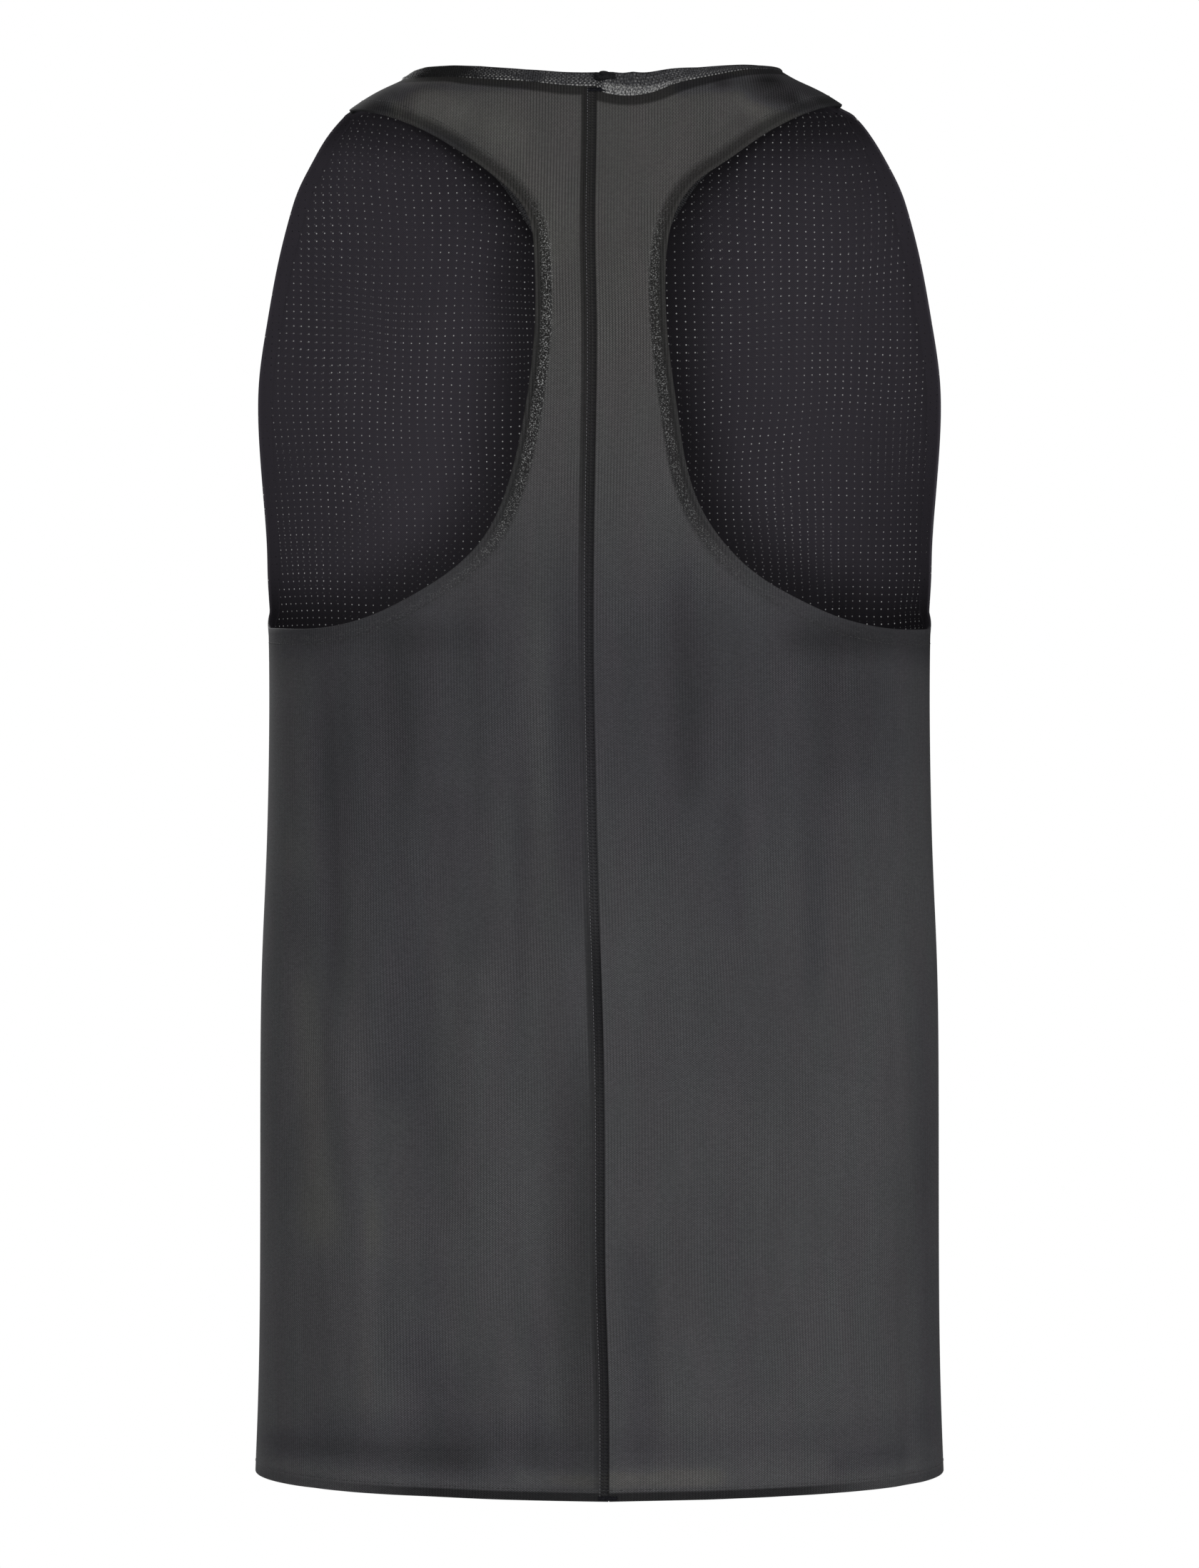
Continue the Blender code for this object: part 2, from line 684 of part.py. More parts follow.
def make_neckband():
    """A closed ring on the neck edge, with its allowance inside the panels."""
    stations = neck_stations()
    centres = np.array([cloth(*station) for station in stations])
    count = len(stations)
    total = lengths(np.concatenate([centres, centres[:1]]))
    shares = total[:-1] / total[-1]
    heights = np.interp(shares, BAND["share"], BAND["height"])
    stands = np.interp(shares, BAND["share"], BAND["stand"])
    rings = []
    inner = DOUBLE + SEAM_GAP
    lower = inner + BAND_ALLOWANCE_LEAN
    for i, (station, height, stand) in enumerate(zip(stations, heights, stands)):
        out = normal(*station)
        run = unit(centres[(i + 1) % count] - centres[i - 1])
        up = unit(np.cross(run, out))
        if up[2] < 0:
            up = -up
        upright = up * (1 - stand) + np.array([0, 0, stand])
        upright = unit(upright - run * (upright @ run))
        profile = (
            (0, SEAM_GAP),
            (0, height),
            (-BAND_WALL, height),
            (-lower - BAND_ALLOWANCE_WALL, -BAND_ALLOWANCE),
            (-lower, -BAND_ALLOWANCE),
            (-inner, SEAM_GAP),
        )
        rings.append(
            [
                centres[i] + out * depth + (upright if rise == height else up) * rise
                for depth, rise in profile
            ]
        )
    points = np.array(rings)
    across = points.shape[1]
    faces = [
        [
            i * across + k,
            (i + 1) % count * across + k,
            (i + 1) % count * across + (k + 1) % across,
            i * across + (k + 1) % across,
        ]
        for i in range(count)
        for k in range(across)
    ]
    material = cloth_material("neckband", BAND_COLOR, BAND_ROUGHNESS)
    points = points.reshape(-1, 3)
    triangles = split_at_shorter_diagonal(points, np.array(faces))
    return solid("neckband", points, triangles.tolist(), material)


def clear_scene():
    for thing in list(bpy.data.objects):
        bpy.data.objects.remove(thing, do_unlink=True)


def main():
    clear_scene()
    make_front_panel()
    make_back_panel(1)
    make_back_panel(-1)
    make_neckband()


main()
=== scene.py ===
"""Looks of a running singlet, filled out as if it were worn, with nobody in it.

The front is one panel of eyelet knit. The back is a racerback in two halves of sheer mesh that meet in
a topstitched centre seam, and a doubled band of the knit finishes the neck. Laid out as an add-on: each
operator makes one piece or one group of like pieces, and the panel lists them. Tables are in
millimetres, and everything built from them is in metres. A side is 1 for the left half and -1 for the
right half.
"""

import math

import bpy
import numpy as np
from bpy.props import FloatProperty, FloatVectorProperty, IntProperty, PointerProperty
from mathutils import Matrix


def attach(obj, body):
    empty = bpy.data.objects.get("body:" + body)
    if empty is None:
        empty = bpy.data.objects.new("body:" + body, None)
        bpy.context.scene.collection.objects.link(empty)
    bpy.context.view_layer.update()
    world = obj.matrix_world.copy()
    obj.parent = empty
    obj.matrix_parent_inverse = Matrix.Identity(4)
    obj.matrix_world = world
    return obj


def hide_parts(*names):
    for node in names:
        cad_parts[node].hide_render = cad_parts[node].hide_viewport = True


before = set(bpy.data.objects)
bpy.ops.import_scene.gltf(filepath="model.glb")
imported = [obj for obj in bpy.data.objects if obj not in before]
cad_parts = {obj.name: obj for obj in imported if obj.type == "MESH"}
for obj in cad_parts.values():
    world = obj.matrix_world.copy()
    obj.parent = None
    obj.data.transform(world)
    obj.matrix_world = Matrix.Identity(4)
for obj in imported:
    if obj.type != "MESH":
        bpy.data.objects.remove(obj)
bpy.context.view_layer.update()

MM = 0.001

bl_info = {
    "name": "Running Singlet",
    "version": (1, 0, 0),
    "blender": (4, 5, 0),
    "location": "View3D > Sidebar > Singlet",
    "description": "Cloth, seams and stage of a racerback running singlet",
    "category": "Object",
}

# ---------------------------------------------------------------------------------------- sizes

ROUNDNESS = 2.3  # exponent of the level sections: 2 is an ellipse, more is fuller at the corners
HEM_LEVEL = -693.0
HEM_DIP = 4.4  # how much lower the hem hangs at the centre
UNDERARM_LEVEL = -278.0
STRAP_LEVEL = {1: -21.5, -1: -19.0}  # outer ends of the shoulder seams
NECK_POINT_LEVEL = {1: -7.5, -1: -4.0}  # inner ends of the shoulder seams
SEAM_FORWARD = 8.0  # side and shoulder seams lie so far in front of the widest line
SEAM_GAP = 0.3  # between pieces that are sewn together
STRAP_FADE = 5.0
UNDERARM_FADE = 45.0
UNDERARM_FADE_BELOW = 36.0
SIDE_FADE = 20.0  # degrees over which the front takes on its own width beside the armhole
YOKE_SHARE = 0.76  # share of the back armhole's length, up to the row that meets the neck's centre
STRAP_SHARE = 0.5  # share of the front armhole's length, up to the row that meets the neck's centre
BACK_CHEST_LEVEL = -455.0
FRONT_CHEST_LEVEL = -410.0
ROW_BOW = 0.35  # how far a row bows between its rails, as a share of its rise
STRAP_BOW_FADE = 1.5
EDGE_STEPS, ROW_STEPS = 1200, 160  # fine steps that edges and rows are measured with
FOLD_FADE = 0.35  # share of a fold's length over which it fades beyond each end
SEAM_CALM = 25.0  # folds die away so close to the side seams
FORM_TURN = 92.0  # the cloth is measured this far round, in degrees, either way from the side
FORM_LEVEL = -700.0
FAR = 99.0  # distance given to cloth that has no such edge

TURNING = 8.0  # width of the armholes' turnings and the side seams' allowances
HEM_TURNING = 6.0
CENTRE_ALLOWANCE = 7.0
NECK_ALLOWANCE = 5.5
ROLL = 0.7  # how far a turned edge rolls in
TURNING_COLUMNS = 7
TURNING_STRETCH = 1.015  # the turned cloth's map is off from the panel's, so their holes don't line up
TURNING_SHIFT, CROSSING_SHIFT = [0.0004, 0.0001], [0.0005, 0.0]
HEM_STACK = 1.3  # the hem's turning lies deeper over the side and centre allowances
HEM_STACK_FADE = 6.0
SHOULDER_STACK = 0.4  # how much deeper the shoulder's allowance lies
MERGE = 0.00002  # points of a sheet that lie closer, in metres, become one
SMOOTH_ANGLE, STITCH_SMOOTH_ANGLE = math.radians(60), math.radians(70)
NECK_ROUNDS = 6  # how often the band's outward ways are evened
NECK_SPAN = 9  # stations to either side that give the band's run

SHADE_REACH = 34.0  # how far the shade of the back reaches over the inside of the front
SHADE_SOURCE = 3200.0, -355.0  # how far behind, and at what level, the light stands that leaves this shade
SHADE_EDGE = 60.0  # how far behind the middle the back's armholes lie
SHADE_NARROWS = -110.0, -50.0  # levels between which the reach shrinks to a quarter
STRAP_SHADE = 0.6
STRAP_SHADE_LEVEL, STRAP_SHADE_FADE = -46.0, 22.0

BAND_RIB = 0.0012  # pitch of the neckband's ribs, in metres
BAND_UPRIGHT_FROM, BAND_UPRIGHT_OVER = -1.0, 3.0  # where above the neck seam the band turns upright
BAND_SEAM_POINT, BAND_SEAM_RISE = 5, 1.7  # a point of the fold line, and its rise above the neck seam
BAND_TOP_POINT = 7
JOIN_SHARE = 0.507  # where round the neck the band's ends meet
JOIN_ROLLS = (  # across, level, sizes and tilt of each small roll
    (-3.0, -12.0, (6.0, 1.7, 1.8), 6),
    (-2.6, -10.4, (3.0, 1.4, 1.3), -8),
    (-7.2, -12.9, (2.5, 1.3, 1.1), 14),
    (1.2, -11.0, (1.9, 1.2, 1.2), -20),
)
SEAM_ROW, LOOP_ROW, SLANT_ROWS = 0.35, 4.1, (1.3, 2.9)  # the rows' distances from the centre seam
SLANT = math.radians(62)
BAR_TACKS = (-696.2, 9.0, -4.0), (-18.4, 11.0, -7.0)  # level, width and start of each
BAR_STITCH, BAR_THREAD, BAR_PITCH, BAR_LIFT = 0.0021, 0.0005, 0.34, 0.25
EDGE_ROW_IN = 1.0  # how far inside a turning's raw edge its stitches run
FLOOR_LEVEL = -0.9  # in metres, well below the hem
LIGHT_AIM = 0, 0, -0.38  # in metres, about the middle of the singlet
LIGHTS = (  # name, place, size and power
    ("key_light", (-1.75, 1.9, 0.6), 1.3, 22.0),
    ("soft_light", (0.1, 2.6, -0.1), 1.2, 27.0),
    ("front_light", (1.3, -2.2, 0.7), 1.1, 62.0),
)


def table(names, *rows):
    """A table as one array for each named column."""
    return {name: np.array(column, float) for name, column in zip(names.split(), zip(*rows))}


# The body at each level, from the shoulders down: half its width, and the depth of its back and of its
# front at the centre, from the plane of the widest line.
SECTIONS = table(
    "level half_width back front",
    (0, 85, 38, 30), (-3, 90, 46, 37), (-8, 98.5, 54, 46), (-12, 107, 59, 51), (-20, 120.6, 65, 59),
    (-31, 134, 71, 67), (-50, 143.8, 80, 78), (-75, 153.5, 90, 90), (-100, 160, 97, 99),
    (-150, 168, 105, 109), (-200, 167.3, 107, 116), (-278, 163.6, 104, 114), (-340, 163.4, 102, 111.5),
    (-400, 165, 100, 110), (-440, 166.7, 100.5, 110.5), (-500, 167.6, 102, 112), (-600, 167.8, 106.5, 116),
    (-650, 168.5, 109.5, 118), (-698, 170.2, 112, 120),
)
FRONT_ARMHOLE = table(
    "forward across level",
    (20, 164.3, -276.5), (33, 165.3, -269), (43, 166.1, -257), (50, 167, -240), (56, 169.3, -210),
    (59, 171.6, -180), (59, 171.5, -152), (57, 167.5, -124), (54, 162.5, -97), (47.5, 155.2, -69),
    (41, 149.8, -55), (32, 142.2, -42), (21, 132.9, -29), (13, 128.6, -23.8),
)
BACK_ARMHOLE = {
    1: table(
        "across level",
        (154, -279.5), (135, -279.7), (113, -275), (91.5, -265), (70, -251.5), (55.5, -237), (45, -216),
        (36.5, -182), (31, -140), (31, -100), (34.5, -80.5), (47, -64.5), (62, -52.5), (78, -41.5),
        (97, -31.5), (112, -25.8),
    ),
    -1: table(
        "across level",
        (154.5, -280), (139, -279.7), (119, -275.7), (95, -266), (73, -252.8), (56, -235), (45, -215),
        (37.7, -181), (32.5, -142), (31.5, -105), (36.5, -79), (46.5, -64.2), (60.5, -54), (76.5, -41.8),
        (97.5, -29), (112, -22.5),
    ),
}
BACK_NECK = {
    1: table(
        "across level",
        (0, -16.5), (17, -16), (31, -14.2), (57, -11.7), (71, -10), (84, -9), (92, -8.5),
    ),
    -1: table(
        "across level",
        (0, -19), (9, -21.3), (18, -21.3), (27, -19.3), (35, -15.8), (49, -11.5), (65, -7.2), (77.5, -4.5),
    ),
}
FRONT_NECK = table(
    "across level",
    (0, -84), (14, -82), (25, -76), (32, -67), (38.5, -56.5), (48, -44), (60, -34), (72, -25.5),
    (83, -17.5), (91, -12),
)
CENTRE_SEAM = table(
    "level across",
    (0, 1.6), (-44, 1.7), (-85, 2.3), (-135, 1.5), (-188, 2), (-230, 2.7), (-290, 3), (-335, 2.3),
    (-373, 1.5), (-434, -0.3), (-475, -1.6), (-537, -2.4), (-598, -2.8), (-640, -4.1), (-700, -4.4),
)
BAND = table(
    "share height stand",
    (0, 9, 0.2), (0.2, 6, 0.3), (0.25, 3, 0.5), (0.28, 1.3, 0.65), (0.3, 1, 0.65), (0.31, 1.6, 0.65),
    (0.32, 3.2, 0.65), (0.33, 4.9, 0.65), (0.345, 6.3, 0.65), (0.4, 7.2, 0.65), (0.44, 6.7, 0.65),
    (0.5, 7.8, 0.65), (0.51, 11.6, 0.65), (0.535, 12.6, 0.65), (0.567, 9, 0.65), (0.595, 6.2, 0.65),
    (0.63, 4.1, 0.65), (0.66, 2.6, 0.65), (0.7, 2.2, 0.6), (0.72, 3.4, 0.5), (0.8, 7.5, 0.3), (1, 9, 0.2),
)

# Drapes and creases: the upper and lower end of each, as places across the body and levels, how far
# it reaches to either side, and how far it stands out (or, below zero, lies in).
BACK_FOLDS = (
    (78, -300, 82, -560, 42, -4.5), (132, -340, 129, -460, 22, -2.2), (37, -355, 41, -490, 22, -2.2),
    (28, -262, 25, -400, 22, 2), (120, -460, 110, -650, 26, 2.6), (68, -620, 82, -692, 36, -3.5),
    (-41, -245, -45, -355, 24, -3.2), (-61, -350, -66, -430, 24, -2.4), (-108, -300, -103, -440, 26, -2.4),
    (-21, -585, -22, -680, 24, -2.4), (-82, -500, -79, -600, 30, -1.8), (-134, -480, -137, -650, 30, 2.2),
)
FRONT_FOLDS = (
    (66, -240, 84, -540, 40, -4), (-62, -255, -80, -580, 42, -3.6), (8, -320, -6, -610, 34, -2.8),
    (122, -330, 118, -520, 26, -2.4), (-125, -300, -117, -490, 26, -2.6), (46, -135, 60, -215, 26, -2.2),
    (-42, -140, -62, -225, 26, -1.8), (34, -560, 40, -692, 26, 2.4), (-44, -590, -38, -692, 26, 2.2),
)

# Finer creases of the back and of the front, in the same columns.
BACK_CREASES = (
    (136, -322, 130, -430, 9, -1.1), (121, -300, 119, -352, 7, 0.6), (104, -286, 100, -352, 12, -1),
    (83, -275, 88, -350, 11, 0.8), (66, -300, 57, -410, 13, -1), (96, -380, 108, -470, 14, 1),
    (128, -470, 118, -545, 10, 1.2), (140, -505, 128, -640, 9, 0.9), (150, -540, 139, -690, 8, -0.8),
    (84, -520, 76, -560, 16, -1.4), (47, -560, 38, -640, 16, -1), (100, -640, 96, -690, 12, 0.8),
    (41, -355, 41, -455, 10, -0.9), (20, -420, 17, -530, 10, 0.7), (24, -590, 16, -675, 9, -0.9),
    (62, -60, 38, -90, 9, 0.9), (84, -26, 60, -30, 10, -1), (94, -19, 74, -16, 8, 0.8),
    (-42, -262, -46, -345, 10, -1.2), (-56, -290, -54, -372, 9, 0.7), (-72, -288, -88, -380, 13, -0.8),
    (-110, -300, -104, -410, 14, -1.3), (-126, -296, -124, -360, 8, 0.7), (-60, -368, -63, -430, 14, -1.1),
    (-90, -420, -86, -500, 16, 0.8), (-118, -430, -126, -520, 12, -0.8), (-34, -470, -38, -560, 14, 0.8),
    (-74, -540, -70, -610, 18, -1.1), (-20, -590, -23, -660, 10, -1.2), (-112, -560, -118, -660, 12, 0.8),
    (-148, -560, -150, -690, 8, -1), (-48, -640, -52, -694, 14, 0.9), (-93, -650, -90, -694, 12, -0.7),
    (-92, -22, -66, -30, 9, -1.1), (-78, -20, -48, -26, 8, 0.9), (-64, -58, -40, -84, 9, 0.9),
)
FRONT_CREASES = (
    (118, -262, 96, -330, 12, 1), (-120, -258, -94, -335, 13, 1.1), (134, -300, 128, -400, 10, -1),
    (-136, -310, -131, -420, 10, -0.9), (28, -110, 44, -190, 12, 0.8), (-26, -112, -40, -180, 12, 0.8),
    (52, -330, 60, -430, 16, 0.9), (-36, -380, -44, -500, 16, 0.9), (96, -470, 106, -600, 14, 1),
    (-104, -460, -108, -590, 14, -1), (14, -520, 8, -640, 14, -0.9), (-140, -560, -144, -680, 9, 0.9),
    (142, -540, 148, -680, 9, -0.9), (72, -600, 78, -690, 12, 0.8), (-74, -610, -70, -690, 12, -0.8),
)

# Where the sheer back looks darker or lighter, with how closely it lies on the cloth behind it, and with
# painted shade and painted light where its drape and its shoulders' outer edges meet the light,
# in the same columns: the last is the change of its tone.
BACK_LIE_AND_PAINTED_SHADING = (
    (120, -315, -120, -315, 120, -0.16), (130, -330, 140, -520, 60, -0.08), (95, -300, 92, -560, 28, -0.17),
    (70, -370, 60, -430, 24, -0.1), (150, -310, 148, -390, 22, 0.16), (142, -460, 136, -560, 22, 0.17),
    (31, -285, 33, -360, 14, 0.08), (14, -290, 12, -480, 14, -0.08), (-60, -300, -60, -480, 90, -0.08),
    (-38, -270, -40, -350, 12, -0.1), (-123, -290, -125, -345, 30, -0.12),
    (-106, -310, -106, -430, 16, -0.06), (160, -284, 70, -284, 14, -0.12),
    (-100, -284, -160, -286, 16, -0.25), (-55, -560, -75, -640, 30, -0.07),
    (-15, -590, -18, -670, 16, -0.1), (90, -600, 80, -680, 30, -0.12), (60, -640, 30, -690, 26, -0.08),
    (125, -668, 25, -674, 20, -0.18), (-20, -674, -150, -668, 18, -0.1), (35, -686, 8, -687.5, 7, 0.2),
    (-8, -687, -52, -686, 8, 0.22), (-116, -682, -145, -680, 10, -0.2), (152, -676, 72, -679, 12, -0.24),
    (31, -622, 30, -676, 10, -0.1), (98, -522, 92, -600, 18, 0.13), (103, -11, 121, -27, 17, -0.6),
    (103, -19, 97, -28, 4, 0.2), (86, -25, 68, -31, 13, 0.3), (86, -15, 40, -17, 5, -0.14),
    (84, -38, 66, -48, 7, -0.14), (60, -33, 40, -42, 12, 0.08), (-83, -11, -119, -25, 16, -0.5),
    (-99, -19, -112, -26, 4, 0.16), (-70, -21, -80, -31, 8, 0.18), (-40, -17, -60, -14, 7, -0.24),
    (-60, -14, -84, -12, 7, -0.3), (-73, -20, -94, -22, 8, -0.34), (133, -345, 130, -448, 9, -0.1),
    (37.5, -362, 41, -482, 10, -0.08), (30.5, -270, 25.5, -396, 8, 0.07),
    (119.5, -465, 109, -567, 10, 0.09), (109, -567, 112, -646, 10, 0.07), (85, -636, 60, -680, 18, -0.08),
    (-41, -260, -45, -345, 9, -0.08), (-62, -373, -63.5, -417, 12, -0.07),
    (-110, -304, -103, -434, 10, -0.06), (-21, -595, -22.5, -673, 9, -0.06),
    (-158, -480, -161, -690, 13, -0.12), (46, -32, 24, -95, 26, 0.1),
)


def smooth(knots, values):
    """A function whose graph is a curve with no kinks through the given points."""
    order = np.argsort(knots)
    x, y = np.asarray(knots, float)[order], np.asarray(values, float)[order]
    step = np.diff(x)
    grid, pull = np.eye(len(x)), np.zeros(len(x))
    for i in range(1, len(x) - 1):
        grid[i, i - 1 : i + 2] = step[i - 1], 2 * (step[i - 1] + step[i]), step[i]
        pull[i] = 6 * ((y[i + 1] - y[i]) / step[i] - (y[i] - y[i - 1]) / step[i - 1])
    bend = np.linalg.solve(grid, pull)

    def read(at):
        at = np.clip(np.asarray(at, float), x[0], x[-1])
        i = np.clip(np.searchsorted(x, at, side="right") - 1, 0, len(x) - 2)
        low, high = x[i + 1] - at, at - x[i]
        return (
            (bend[i] * low**3 + bend[i + 1] * high**3) / (6 * step[i])
            + (y[i] / step[i] - bend[i] * step[i] / 6) * low
            + (y[i + 1] / step[i] - bend[i + 1] * step[i] / 6) * high
        )

    return read


half_width, back_depth, front_depth = (
    smooth(SECTIONS["level"], SECTIONS[name]) for name in ("half_width", "back", "front")
)
armhole_forward, armhole_across = (
    smooth(FRONT_ARMHOLE["level"][1:], FRONT_ARMHOLE[name][1:]) for name in ("forward", "across")
)
seam_across = smooth(CENTRE_SEAM["level"], CENTRE_SEAM["across"])


def unit(vectors):
    return vectors / np.linalg.norm(vectors, axis=-1, keepdims=True)


def dot(first, second):
    return np.einsum("ij,ij->i", first, second)


def lengths(points):
    """Length along a line of points, from its start to each of them."""
    return np.concatenate([[0], np.cumsum(np.linalg.norm(np.diff(points, axis=0), axis=1))])


def along_line(at, length, points):
    """Points at some lengths along a line, from its own points and their lengths."""
    return np.stack([np.interp(at, length, column) for column in points.T], -1)


def nearest_distance(points, line):
    """Distance from each point to a line of points."""
    flat = points.reshape(-1, points.shape[-1])
    best = np.full(len(flat), np.inf)
    for start, end in zip(line[:-1], line[1:]):
        run = end - start
        share = np.clip(((flat - start) @ run) / max(run @ run, 1e-12), 0, 1)
        away = flat - start - share[:, None] * run
        best = np.minimum(best, dot(away, away))
    return np.sqrt(best).reshape(points.shape[:-1])


def soft_step(share):
    """0 below 0, 1 above 1, and a soft rise between."""
    share = np.clip(share, 0.0, 1.0)
    return share * share * (3 - 2 * share)


# ----------------------------------------------------------------------------------------- form


def other_share(share):
    """The depth share of a section's point that lies at an across share, and the other way round."""
    return (1 - np.clip(np.abs(share), 0, 1) ** ROUNDNESS) ** (1 / ROUNDNESS)


def front_widening(level):
    """How much wider the front's own section is beside the armhole than the widest line."""
    edge_share = other_share(armhole_forward(level) / front_depth(level))
    full = armhole_across(level) / half_width(level) / edge_share
    above = soft_step((STRAP_LEVEL[1] + STRAP_FADE / 2 - level) / STRAP_FADE)
    below = soft_step((level - UNDERARM_LEVEL + UNDERARM_FADE_BELOW) / UNDERARM_FADE)
    return 1 + (full - 1) * above * below


def section(side, turn, level):
    """A point of the plain form. The turn is 90 at the centre back, 0 at the side, -90 in front."""
    across, depth = np.cos(np.radians(turn)), np.sin(np.radians(turn))
    size = (np.abs(across) ** ROUNDNESS + np.abs(depth) ** ROUNDNESS) ** (-1 / ROUNDNESS)
    width = half_width(level) * (1 + (front_widening(level) - 1) * soft_step(-turn / SIDE_FADE))
    reach = np.where(depth > 0, back_depth(level), front_depth(level))
    return np.stack([side * width * across * size, reach * depth * size, level + 0 * size], -1)


def slopes(side, turn, level, reach=0.4):
    """How a point of the plain form moves for each degree of turn and each millimetre of level."""
    by_turn = section(side, turn + reach, level) - section(side, turn - reach, level)
    by_level = section(side, turn, level + reach) - section(side, turn, level - reach)
    return by_turn / (2 * reach), by_level / (2 * reach)


def normal(side, turn, level):
    """Unit normal of the plain form, pointing away from the body."""
    return unit(side * np.cross(*slopes(side, turn, level)))


def drape(points, strokes):
    """How much the strokes add at each point of the plain form."""
    added = np.zeros(points.shape[:-1])
    place = points[..., [0, 2]]
    for upper_across, upper_level, lower_across, lower_level, reach, height in strokes:
        upper = np.array([upper_across, upper_level])
        run = np.array([lower_across, lower_level]) - upper
        share = ((place - upper) @ run) / (run @ run)
        aside = np.linalg.norm(place - upper - share[..., None] * run, axis=-1)
        ends = soft_step((share + FOLD_FADE) / FOLD_FADE) * soft_step((1 + FOLD_FADE - share) / FOLD_FADE)
        added += height * ends * soft_step(1 - aside / reach)
    return added


def cloth(side, turn, level, deep=0.0):
    """A point of the cloth's outer face, or so much deeper under it."""
    plain = section(side, turn, level)
    seam_fade = soft_step((np.abs(plain[..., 1]) - SEAM_FORWARD) / SEAM_CALM)
    moved = np.where(
        plain[..., 1] > 0, drape(plain, BACK_FOLDS + BACK_CREASES), drape(plain, FRONT_FOLDS + FRONT_CREASES)
    )
    return plain + normal(side, turn, level) * (moved * seam_fade - deep)[..., None]


def turn_at_forward(forward, level):
    """The turn of a point that lies so far in front of the widest line."""
    share = forward / front_depth(level)
    return -np.degrees(np.arctan2(share, other_share(share)))


def turn_at_across(across, level):
    """The turn of a point of the back that lies so far from the middle."""
    share = across / half_width(level)
    return np.degrees(np.arctan2(other_share(share), share))


def front_turn_at_across(across, level):
    return -turn_at_across(across / front_widening(level), level)


def cloth_lengths():
    """Lengths of cloth over the whole form: round it from the middle, and up it from the hem."""
    turns, levels = np.linspace(-FORM_TURN, FORM_TURN, 369), np.linspace(FORM_LEVEL, 0, 351)
    points = section(1, turns[:, None], levels[None, :])
    found = [turns, levels]
    for axis in (0, 1):
        steps = np.linalg.norm(np.diff(points, axis=axis), axis=-1)
        first = np.zeros_like(np.take(steps, [0], axis))
        found.append(np.concatenate([first, np.cumsum(steps, axis)], axis))
    return found


FORM_TURNS, FORM_LEVELS, ROUND_LENGTH, UP_LENGTH = cloth_lengths()


def cell_share(at, grid):
    """The cell of an even grid that holds each value, and how far into the cell the value lies."""
    place = np.clip((at - grid[0]) / (grid[1] - grid[0]), 0, len(grid) - 1.001)
    return place.astype(int), place - place.astype(int)


def read_form(values, turn, level):
    """Bilinear reading of a value that is known over the whole form."""
    (a, s), (b, t) = cell_share(turn, FORM_TURNS), cell_share(level, FORM_LEVELS)
    low = values[a, b] * (1 - s) + values[a + 1, b] * s
    high = values[a, b + 1] * (1 - s) + values[a + 1, b + 1] * s
    return low * (1 - t) + high * t


def cloth_map(side, turn, level, middle):
    """Map coordinates in metres: across from the middle of the cloth, and up from the hem."""
    across = read_form(ROUND_LENGTH, turn * 0 + middle, level) - read_form(ROUND_LENGTH, turn, level)
    across = across - side * seam_across(level) if middle > 0 else -across
    up = read_form(UP_LENGTH, turn, level) if middle > 0 else level - FORM_LEVEL
    return np.stack([side * across, up], -1) * MM


# ------------------------------------------------------------------------------- rails and nets


class Net:
    """How finely a panel is woven: rows below the underarm, beside the armhole and in the strap."""

    def __init__(self, body, armhole, strap, columns):
        self.body, self.armhole, self.strap, self.columns = body, armhole, strap, columns
        self.neck_row = body + armhole
        self.rows = body + armhole + strap + 1


BACK_NET = Net(body=120, armhole=84, strap=46, columns=84)
FRONT_NET = Net(body=110, armhole=70, strap=64, columns=76)


def edge_line(side, turns, levels, shares):
    """Places at the given shares of the length of a smooth line through the knots."""
    chord = lengths(section(side, turns, levels))
    turn_of, level_of = smooth(chord, turns), smooth(chord, levels)
    fine = np.linspace(0, chord[-1], EDGE_STEPS)
    length = lengths(section(side, turn_of(fine), level_of(fine)))
    at = np.interp(np.asarray(shares) * length[-1], length, fine)
    return np.stack([turn_of(at), level_of(at)], -1)


def two_stretches(start, split, end, lower_rows, upper_rows):
    """Even steps up to the split, and even steps above it."""
    lower, upper = np.linspace(start, split, lower_rows + 1), np.linspace(split, end, upper_rows + 1)
    return np.concatenate([lower, upper[1:]])


def outer_rail(side, forward, turns, levels, split, net):
    """Side seam and armhole, from the hem up to the strap."""
    ends = np.array([UNDERARM_LEVEL, STRAP_LEVEL[side]])
    low, high = turn_at_forward(forward, ends)
    armhole = edge_line(
        side,
        np.concatenate([[low], turns, [high]]),
        np.concatenate([ends[:1], levels, ends[1:]]),
        two_stretches(0, split, 1, net.armhole, net.strap),
    )
    levels = np.linspace(HEM_LEVEL, UNDERARM_LEVEL, net.body + 1)
    seam = np.stack([turn_at_forward(forward, levels), levels], -1)
    return np.concatenate([seam, armhole[1:]])


def inner_rail(side, forward, chest, neck, centre_turn, neck_turn, net):
    """Centre line and neck edge, from the hem up to the shoulder seam."""
    levels = two_stretches(HEM_LEVEL - HEM_DIP, chest, neck["level"][0], net.body, net.armhole)
    centre = np.stack([centre_turn(levels), levels], -1)
    point = NECK_POINT_LEVEL[side]
    turns = neck_turn(neck["across"][1:], neck["level"][1:])
    edge = edge_line(
        side,
        np.concatenate([centre[-1:, 0], turns, [turn_at_forward(forward, point)]]),
        np.append(neck["level"], point),
        np.linspace(0, 1, net.strap + 1),
    )
    return np.concatenate([centre, edge[1:]])


